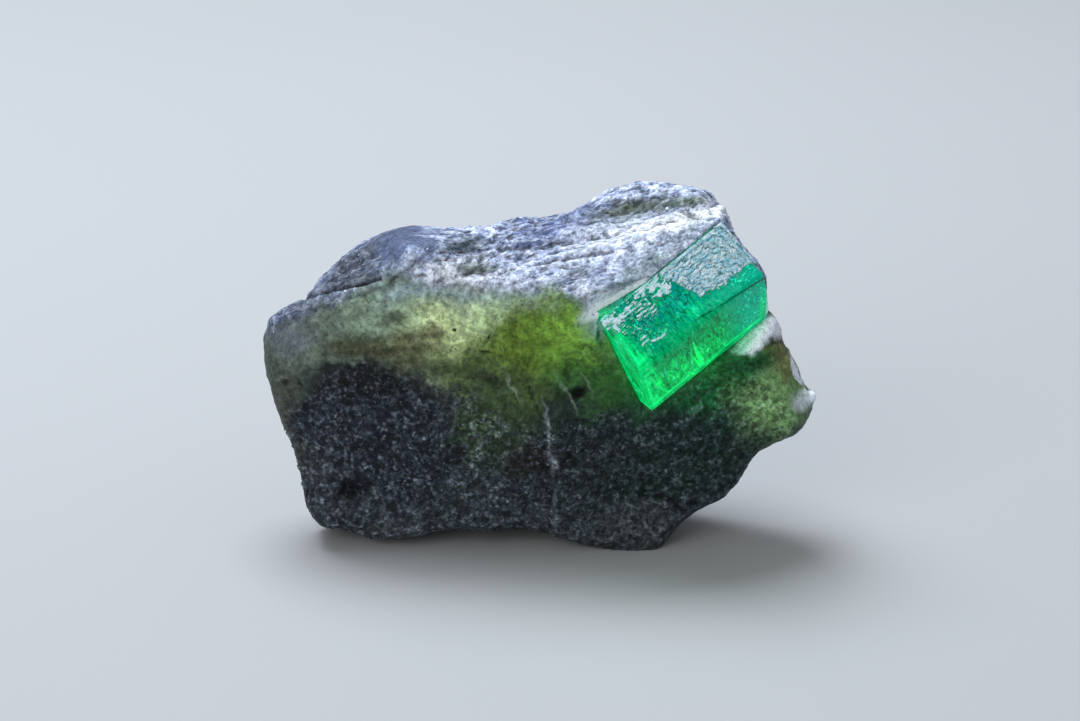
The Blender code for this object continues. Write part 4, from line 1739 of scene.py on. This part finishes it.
@dataclass
class EmeraldCrystal:
    """The prism, its etched crust and what is sealed in it.

    Attributes:
        cell: The remeshed cell of the prism, in mm.
        wear: How many times its edges are smoothed.
        crust_step: The crust's grid, in mm.
        crust_thick: How thick the crust is, in mm.
        seed: The seed of what is sealed in it.
        fanned: How many splinters fan out up the upper face.
        along_edge: How many lie along the bottom edge.
        along_end: How many lie along the left end, on each face.
        crossing: How many are tried across the lower face.
        strays: How many more lie anywhere.
    """

    cell: float = 0.13
    wear: int = 3
    crust_step: float = 0.05
    crust_thick: float = 0.09
    seed: int = 11
    fanned: int = 34
    along_edge: int = 16
    along_end: int = 14
    crossing: int = 110
    strays: int = 40

    def build(self) -> list[Object]:
        """Makes every piece.

        Returns:
            The pieces, the prism first.
        """
        body = place(self.prism(), "crystal", EmeraldFinish().build())
        glassy = SealedFinish("bright_splinter", paint(100, 255, 170), paint(0, 240, 120), 1.45)
        white = SealedFinish("white_crumb", paint(230, 255, 250), paint(90, 240, 200), 1.3)
        teal = SealedFinish("fan_splinter", paint(120, 250, 215), paint(0, 205, 160), 0.9)
        splinters = self.sealed("splinters", self.edges() + self.brush(), glassy)
        fan = self.sealed("fan_splinters", self.fan(), teal)
        return [body, self.crust(), splinters, fan, self.sealed("inner_crumbs", self.crumbs(), white)]

    def prism(self) -> Mesh:
        """The prism with worn edges and faintly grooved faces, and what its finish reads.

        Returns:
            The mesh.
        """
        solid = merged_copy("emerald_crystal")
        planes = Prism(solid)
        mesh = remeshed(solid, self.cell)
        points = coordinates(mesh)
        beside = Neighbours(mesh)
        for _ in range(2):
            gap, away = planes.distance(points)
            points = points - away * gap[:, None] * MM
        for _ in range(self.wear):
            points = points + 0.5 * (beside.mean(points) - points)
        _, away = planes.distance(points)
        inside = CRYSTAL.local(points)
        grooves = ripple(inside, (5.0, 0.5, 0.5), 21, 2) * 0.018
        grooves = grooves + ripple(inside, (1.4, 1.0, 1.0), 22, 2) * 0.012
        points = points - away * (0.02 + np.abs(grooves))[:, None] * MM
        move_to(mesh, points)
        self.describe(mesh, inside, planes.second(points))
        return mesh

    def describe(self, mesh: Mesh, inside: Array, inward: Array) -> None:
        """Stores where the prism is etched, cracked and lit along its edges.

        Args:
            mesh: The prism.
            inside: Its vertices in crystal space.
            inward: How far they are from the nearest edge, in mm.
        """
        along, above = inside[:, 0], inside[:, 1]
        wander = 0.22 * ripple(inside, 1.6, 24, 3)
        keep(mesh, "etched", rise(above, -1.6, 0.2) * rise(along, 0.8, -0.6) * rise(along, -7.6, -6.6))
        gap = np.abs(above + 2.57 - 0.125 * (5.05 - along) + 0.25 * wander)
        keep(mesh, "crack", rise(gap, 0.15, 0.04) * rise(along, -2.4, 0.2))
        keep(mesh, "band", 0.7 * rise(np.abs(above + 1.5 + wander), 0.75, 0.35) * rise(along, -0.6, 0.6))
        low = rise(above, -3.4, -4.2)
        left = rise(along, -5.6, -6.8) * rise(above, 2.4, 0.0)
        line = rise(np.abs(inward - 0.3), 0.15, 0.04) * np.maximum(low, left)
        keep(mesh, "rim", 0.8 * np.maximum(line, 0.7 * rise(inward, 0.12, 0.03) * np.maximum(low, left)))

    def crust(self) -> Object:
        """The etched crust: a thin, terraced, ragged sheet on the upper face.

        Returns:
            The piece.
        """
        along = np.arange(-7.5, 6.0, self.crust_step)
        above = np.arange(-2.7, 2.85, self.crust_step)
        grid_x, grid_y = (part.ravel() for part in np.meshgrid(along, above, indexing="ij"))
        flat = np.stack((grid_x, grid_y, np.zeros_like(grid_x)), axis=1)
        rough = ripple(flat, (1.6, 1.0, 1.0), 31, 4)
        fine = ripple(flat, (0.45, 0.26, 1.0), 32, 3)
        lower = np.interp(grid_x, *zip(*SHEET_EDGE))
        sheet = rise(grid_y - lower + 0.55 * rough + 0.3 * fine, -0.08, 0.18) * rise(grid_x, -1.2, -0.6)
        wave = ripple(flat, (1.7, 1.0, 1.0), 33, 4)
        nested = -np.log(np.exp(-2.0 * (2.9 - grid_y)) + np.exp(-2.0 * (5.8 - grid_x))) / 2.0
        terrace = 2.1 * (nested + 0.8 * wave * rise(nested, 0.0, 1.0) + 0.06 * fine)
        band = terrace - np.floor(terrace)
        height = sheet * (0.05 + 0.11 * rise(band, 0.0, 0.75) * rise(band, 1.0, 0.88) + 0.02 * fine)
        patches = self.patches(grid_x, grid_y, rough, fine)
        dark = np.maximum(rise(band, 0.86, 0.92), rise(band, 0.08, 0.03)) * (patches < 0.3)
        dark = dark * rise(ripple(flat, (0.5, 0.4, 1.0), 34, 3), -0.5, 0.2)
        height = height * (1.0 - dark * rise(fine, 0.1, 0.35))
        height = np.maximum(height - 0.03, patches * (0.05 + 0.03 * fine) - 0.012)
        kept = (height > -0.005).reshape(len(along), len(above))
        mesh, shown = woven(on_face(Face.UPPER, grid_x, grid_y, height), kept, "crust")
        keep(mesh, "line", dark[shown])
        keep(mesh, "sheet", (sheet * (patches < 0.3))[shown])
        keep(mesh, "patched", patches[shown])
        mesh = through_modifier(mesh, "SOLIDIFY", thickness=self.crust_thick * MM, offset=-1.0)
        return place(mesh, "etched_crust", CrustFinish().build())

    def patches(self, x: Array, y: Array, rough: Array, fine: Array) -> Array:
        """Where loose white patches lie beside the sheet.

        Args:
            x: Places along the prism.
            y: Places up the face.
            rough: Coarse noise there.
            fine: Fine noise there.

        Returns:
            How much each place is covered.
        """
        flat = np.stack((x, y, np.zeros_like(x)), axis=1)
        thick = 0.3 * ripple(flat, (1.5, 1.1, 1.0), 36, 2)
        flecks = rise(ripple(flat, (0.5, 0.13, 1.0), 35, 4) + thick, 0.3, 0.62)
        cover = flecks * rise(np.hypot((x + 4.9) / 2.4, (y - 1.3) / 1.6), 1.1, 0.7)
        for across, up, wide, tall in CRUST_SPOTS:
            reach = np.hypot((x - across) / wide, (y - up) / tall) + 0.5 * rough + 1.1 * fine
            cover = np.maximum(cover, rise(reach, 1.2, 0.75))
        return cover

    def fan(self) -> list[Needle]:
        """Splinters that fan out up the upper face.

        Returns:
            The splinters.
        """
        chance = np.random.default_rng(self.seed)
        needles = []
        for _ in range(self.fanned):
            angle = chance.normal(98, 28)
            start = (-0.8 + chance.normal(0, 0.35), -2.3 + chance.uniform(0, 0.7))
            length, wide = chance.uniform(0.8, 2.6), chance.uniform(0.04, 0.11)
            needles.append(Needle(Face.UPPER, start, angle, length, wide))
        return needles

    def edges(self) -> list[Needle]:
        """Long splinters beside the bottom edge and the left end, and the broad bright spike.

        Returns:
            The splinters.
        """
        needles = [
            Needle(Face.LOWER, (-2.3, -2.3), 90, 4.1, 0.62, 0.14, (0.24, 0.24)),
            Needle(Face.LOWER, (-2.5, -2.3), 99, 2.4, 0.3, 0.2, (0.2, 0.2)),
        ]
        chance = np.random.default_rng(self.seed + 1)
        for _ in range(self.along_edge):
            start = (chance.uniform(-7.2, 3.0), chance.uniform(-2.65, -2.1))
            needles.append(Needle(Face.LOWER, start, chance.normal(0, 1.5), chance.uniform(1.0, 3.0), 0.07))
        for _ in range(self.along_end):
            start = (chance.uniform(-7.3, -6.2), chance.uniform(-2.6, 0.5))
            needles.append(Needle(Face.LOWER, start, chance.normal(94, 4), chance.uniform(0.8, 2.4), 0.06))
            start = (chance.uniform(-7.3, -6.4), chance.uniform(-2.6, 0.0))
            needles.append(Needle(Face.UPPER, start, chance.normal(96, 5), chance.uniform(0.8, 2.4), 0.05))
        return needles

    def brush(self) -> list[Needle]:
        """Short crossing splinters that rise from the bottom edge, and a few all over.

        Returns:
            The splinters.
        """
        chance = np.random.default_rng(self.seed + 2)
        needles = []
        for _ in range(self.crossing):
            start = (chance.uniform(-6.6, 0.8), chance.uniform(-2.6, 0.2))
            needle = Needle(Face.LOWER, start, chance.normal(88, 32), chance.uniform(0.4, 1.9), 0.06)
            if abs(start[0] + 2.3) > 0.5:
                needles.append(needle)
        for _ in range(self.strays):
            face = Face.LOWER if chance.random() < 0.6 else Face.UPPER
            start = (chance.uniform(-6.5, 5.0), chance.uniform(-2.4, 1.2))
            needles.append(Needle(face, start, chance.uniform(0, 180), chance.uniform(0.3, 1.2), 0.045))
        return needles

    def crumbs(self) -> list[Needle]:
        """Small stubby specks under the faces, thickest at the right end and in the upper left.

        Returns:
            The splinters.
        """
        chance = np.random.default_rng(self.seed + 3)
        needles = []
        for middle, spread, many, face in CRUMB_CLUSTERS:
            for _ in range(many):
                across = float(np.clip(chance.normal(middle[0], spread[0]), -7.2, 5.4))
                up = float(np.clip(chance.normal(middle[1], spread[1]), -2.5, 2.5))
                size = chance.uniform(0.06, 0.18)
                turn = chance.uniform(0, 180)
                needles.append(Needle(face, (across, up), turn, size * 1.5, size, 0.5, (0.08, 0.12)))
        return needles

    def sealed(self, name: str, needles: list[Needle], finish: SealedFinish) -> Object:
        """Splinters that keep inside the prism, as one piece.

        Args:
            name: The piece's name.
            needles: The splinters.
            finish: What they are made of.

        Returns:
            The piece.
        """
        planes = Prism(merged_copy("emerald_crystal"))
        solid = bmesh.new()
        for needle in needles:
            before = len(solid.verts)
            needle.add(solid)
            solid.verts.ensure_lookup_table()
            added = [solid.verts[index] for index in range(before, len(solid.verts))]
            gap, _ = planes.distance(np.array([tuple(corner.co) for corner in added]))
            if gap.max() > -0.05:
                bmesh.ops.delete(solid, geom=added, context="VERTS")
        return place(to_mesh(solid, name), name, finish.build(), smooth=False)


SCATTER_INPUTS = {
    "Geometry": "Geometry",
    "Grain": "Object",
    "Finish": "Material",
    "Where": "String",
    "Per square metre": "Float",
    "Smallest": "Float",
    "Largest": "Float",
    "Sunk": "Float",
    "Tilt": "Float",
    "Seed": "Int",
}


def scatter_tree() -> bpy.types.GeometryNodeTree:
    """A tree that sets grains on a surface, as thick as an attribute says, turned and sized by chance.

    Returns:
        The tree.
    """
    tree = bpy.data.node_groups.new("scatter_grains", "GeometryNodeTree")
    for name, kind in SCATTER_INPUTS.items():
        tree.interface.new_socket(name, in_out="INPUT", socket_type="NodeSocket" + kind)
    tree.interface.new_socket("Geometry", in_out="OUTPUT", socket_type="NodeSocketGeometry")
    wires = Wires(tree)
    entry = wires.add("NodeGroupInput").outputs
    tilt, seed = entry["Tilt"], entry["Seed"]
    mask = wires.add("GeometryNodeInputNamedAttribute", {"Name": entry["Where"]}, data_type="FLOAT")
    dense = wires.product(mask.outputs["Attribute"], entry["Per square metre"])
    feeds = {"Mesh": entry["Geometry"], "Density": dense, "Seed": seed}
    spread = wires.add("GeometryNodeDistributePointsOnFaces", feeds).outputs
    feeds = {0: spread["Normal"], "Scale": wires.product(entry["Sunk"], -1.0)}
    inward = wires.node("VectorMath", feeds, operation="SCALE").outputs[0]
    sunk = wires.add("GeometryNodeSetPosition", {"Geometry": spread["Points"], "Offset": inward})
    less = wires.product(tilt, -1.0)
    low = wires.node("CombineXYZ", {"X": less, "Y": less, "Z": -math.pi}).outputs[0]
    high = wires.node("CombineXYZ", {"X": tilt, "Y": tilt, "Z": math.pi}).outputs[0]
    feeds = {"Min": low, "Max": high, "Seed": seed}
    turn = wires.add("FunctionNodeRandomValue", feeds, data_type="FLOAT_VECTOR").outputs["Value"]
    feeds = {"Rotation": spread["Rotation"], "Rotate By": turn}
    turned = wires.add("FunctionNodeRotateRotation", feeds, rotation_space="LOCAL").outputs[0]
    size = wires.add("FunctionNodeRandomValue", {"Seed": seed}, data_type="FLOAT")
    limits = [socket for socket in size.inputs if socket.enabled]
    wires.feed(limits[0], entry["Smallest"])
    wires.feed(limits[1], entry["Largest"])
    chosen = next(socket for socket in size.outputs if socket.enabled)
    shard = wires.add("GeometryNodeObjectInfo", {"Object": entry["Grain"]}).outputs["Geometry"]
    feeds = {"Points": sunk.outputs[0], "Instance": shard, "Rotation": turned, "Scale": chosen}
    copies = wires.add("GeometryNodeInstanceOnPoints", feeds).outputs[0]
    real = wires.add("GeometryNodeRealizeInstances", {"Geometry": copies}).outputs[0]
    dressed = wires.add("GeometryNodeSetMaterial", {"Geometry": real, "Material": entry["Finish"]})
    wires.add("NodeGroupOutput", {"Geometry": dressed.outputs[0]})
    return tree


class Shape(Enum):
    """The shapes of scattered grains."""

    SHARD = "shard"
    FLAKE = "flake"


def grain_shape(shape: Shape) -> Object:
    """One grain of about one metre, to be scaled down as it is scattered.

    Args:
        shape: A rough shard, or a thin six-sided flake.

    Returns:
        An object that isn't linked to the scene.
    """
    solid = bmesh.new()
    if shape is Shape.SHARD:
        for turn in range(11):
            around, up = turn * 2.4, 1.0 - turn / 5.0
            wide = math.sqrt(max(0.0, 1.0 - up * up)) * (0.42 + 0.14 * math.sin(turn * 5.1))
            solid.verts.new((wide * math.cos(around), wide * math.sin(around) * 0.8, up * 0.38))
    else:
        for turn in range(6):
            wide = 0.5 + 0.09 * math.sin(turn * 4.3)
            for up, share in ((-0.05, 1.0), (0.05, 0.93)):
                angle = turn * math.pi / 3
                solid.verts.new((wide * share * math.cos(angle), wide * share * math.sin(angle) * 0.85, up))
    bmesh.ops.convex_hull(solid, input=solid.verts)
    return bpy.data.objects.new(shape.value, to_mesh(solid, shape.value))


@dataclass(frozen=True)
class GrainFinish:
    """Small grains or flakes, each a little different.

    Attributes:
        name: The material's name.
        light: The brighter colour.
        dark: The darker colour.
        rough: How rough it is.
        shine: How metallic it is.
    """

    name: str
    light: Colour
    dark: Colour
    rough: float
    shine: float = 0.0

    def build(self) -> Material:
        """Makes the material.

        Returns:
            The material.
        """
        finish, wires, shader = new_finish(self.name)
        cloud = wires.haze(in_space(wires, FRONT), 1.6, 4.0)
        colour = wires.blend(wires.ramp(cloud, 0.38, 0.62), self.dark, self.light)
        rough = wires.ramp(cloud, 0.3, 0.7, self.rough * 0.7, self.rough)
        wires.feed_all(shader, {"Base Color": colour, "Roughness": rough, "Metallic": self.shine})
        return finish


@dataclass(frozen=True)
class Scatter:
    """Grains set in the rock's surface.

    Attributes:
        name: The piece's name.
        shape: The grain's shape.
        finish: What they are made of.
        where: The attribute that says how thick they are.
        count: How many there are on a square mm where it is thickest.
        sizes: The smallest and largest, in mm.
        sunk: How deep their middles are, in mm.
        tilt: How far they lean out of the surface, in radians.
        seed: The random seed.
    """

    name: str
    shape: Shape
    finish: GrainFinish
    where: str
    count: float
    sizes: tuple[float, float]
    sunk: float
    tilt: float
    seed: int

    def build(self, rock: Object, tree: bpy.types.GeometryNodeTree) -> Object:
        """Makes the piece.

        Args:
            rock: The surface that carries it.
            tree: The scatter tree.

        Returns:
            The piece.
        """
        shard = grain_shape(self.shape)
        finish = self.finish.build()
        holder = linked("holder", rock.data)
        modifier = holder.modifiers.new("scatter", "NODES")
        modifier.node_group = tree
        values = {
            "Grain": shard,
            "Finish": finish,
            "Where": self.where,
            "Per square metre": self.count / MM**2,
            "Smallest": self.sizes[0] * MM,
            "Largest": self.sizes[1] * MM,
            "Sunk": self.sunk * MM,
            "Tilt": self.tilt,
            "Seed": self.seed,
        }
        for item in tree.interface.items_tree:
            if item.in_out == "INPUT" and item.name in values:
                modifier[item.identifier] = values[item.name]
        mesh = evaluated(holder)
        holder.modifiers.remove(modifier)
        bpy.data.objects.remove(holder)
        bpy.data.objects.remove(shard)
        return place(mesh, self.name, finish, smooth=False)


SCATTERS = (
    Scatter(
        "pale_grains", Shape.SHARD, GrainFinish("pale_grain", paint(78, 86, 98), paint(42, 48, 56), 0.7),
        "specked", 1.3, (0.22, 0.55), 0.08, 1.2, 3,
    ),
    Scatter(
        "mica_flakes", Shape.FLAKE,
        GrainFinish("pale_mica", paint(214, 222, 238), paint(140, 156, 180), 0.35, 0.1),
        "lit_frost", 0.5, (0.15, 0.42), 0.03, 0.35, 4,
    ),
    Scatter(
        "dark_flakes", Shape.FLAKE, GrainFinish("black_mica", paint(34, 38, 43), paint(14, 16, 20), 0.4),
        "specked", 1.0, (0.2, 0.5), 0.02, 0.6, 5,
    ),
)


@dataclass(frozen=True)
class FloorFinish:
    """The studio floor's plain pale paper.

    Attributes:
        pale: Its brighter colour.
        shade: Its darker colour.
        rough: How rough it is.
    """

    pale: Colour = paint(190, 192, 194)
    shade: Colour = paint(184, 186, 188)
    rough: float = 0.85

    def build(self) -> Material:
        """Makes the material.

        Returns:
            The material.
        """
        finish, wires, shader = new_finish("pale_paper")
        cloud = wires.haze(wires.node("TexCoord").outputs["Object"], 6.0, 3.0)
        colour = wires.blend(cloud, self.shade, self.pale)
        wires.feed_all(shader, {"Base Color": colour, "Roughness": self.rough})
        return finish


@dataclass
class Studio:
    """The floor, the lights and the camera.

    Attributes:
        target: What the camera looks at, in metres.
        away: The camera's distance, in metres.
        lens: Its focal length, in mm.
        sensor: Its sensor's width, in mm.
        clip: How near it sees, in metres.
        floor_radius: How wide the floor reaches, in metres.
        floor_drop: How far the floor is below the lump's underside, in metres.
        sky: The colour of the light from all round.
        sky_strength: How strong that light is.
    """

    target: Point = (0.0000454, -0.0019457, 0.0157751)
    away: float = 0.36
    lens: float = 138.5
    sensor: float = 36.0
    clip: float = 0.01
    floor_radius: float = 3.0
    floor_drop: float = 0.00002
    sky: Colour = (0.92, 0.95, 1.0)
    sky_strength: float = 0.30

    def build(self) -> None:
        """Makes the floor, lights and camera."""
        self.floor()
        self.lights()
        back = Vector((0.0, -math.cos(LEAN), math.sin(LEAN)))
        camera = bpy.data.cameras.new("camera")
        camera.sensor_width = self.sensor
        camera.lens = self.lens
        camera.clip_start = self.clip
        holder = linked("camera", camera)
        holder.location = Vector(self.target) + back * self.away
        holder.rotation_euler = (-back).to_track_quat("-Z", "Y").to_euler()
        bpy.context.scene.camera = holder
        bpy.context.scene.view_settings.view_transform = "Standard"

    def floor(self) -> None:
        """A wide, flat, round sheet, a hair below the lump's underside."""
        sheet = bmesh.new()
        bmesh.ops.create_circle(sheet, cap_ends=True, radius=self.floor_radius, segments=64)
        mesh = to_mesh(sheet, "floor")
        mesh.transform(Matrix.Translation((0.0, 0.0, -self.floor_drop)))
        place(mesh, "floor", FloorFinish().build(), smooth=False)

    def lights(self) -> None:
        """Soft lights: a cool one from above and behind, a weak one in front, and a little all round."""
        self.light("sky", (-0.10, 0.16, 0.42), (0.30, 0.30), 2.4, (0.86, 0.92, 1.0))
        self.light("front", (-0.25, -0.50, 0.22), (0.40, 0.40), 1.3, (1.0, 0.99, 0.96))
        world = bpy.data.worlds.new("studio")
        world.use_nodes = True
        feeds = {"Color": self.sky, "Strength": self.sky_strength}
        Wires(world.node_tree).feed_all(world.node_tree.nodes["Background"], feeds)
        bpy.context.scene.world = world

    def light(self, name: str, where: Point, size: tuple[float, float], power: float, colour: Colour) -> None:
        """One area light that faces the lump.

        Args:
            name: Its name.
            where: Its place in metres.
            size: Its width and height in metres.
            power: Its power in watts.
            colour: Its colour.
        """
        lamp = bpy.data.lights.new(name, "AREA")
        lamp.shape = "RECTANGLE"
        lamp.size, lamp.size_y = size
        lamp.energy = power
        lamp.color = colour
        holder = linked(name, lamp)
        holder.location = where
        facing = Vector(self.target) - Vector(where)
        holder.rotation_euler = facing.to_track_quat("-Z", "Y").to_euler()


def main() -> None:
    """Builds the lump, the crystal, the grains and the studio, in that order."""
    logging.basicConfig(level=logging.INFO, format="%(message)s")
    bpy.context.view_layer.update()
    prism = Prism(merged_copy("emerald_crystal"))
    rock = MatrixRock()
    rock.build(prism)
    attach(rock.piece, "root")
    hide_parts("matrix_rock")
    LOG.info("rock: %d faces", len(rock.piece.data.polygons))
    crystal = EmeraldCrystal()
    for piece in crystal.build():
        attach(piece, "root")
        if piece.name == "crystal":
            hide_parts("emerald_crystal")
        LOG.info("%s: %d faces", piece.name, len(piece.data.polygons))
    tree = scatter_tree()
    for scatter in SCATTERS:
        piece = scatter.build(rock.piece, tree)
        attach(piece, "root")
        LOG.info("%s: %d faces", piece.name, len(piece.data.polygons))
    Studio().build()


if __name__ == "__main__":
    main()
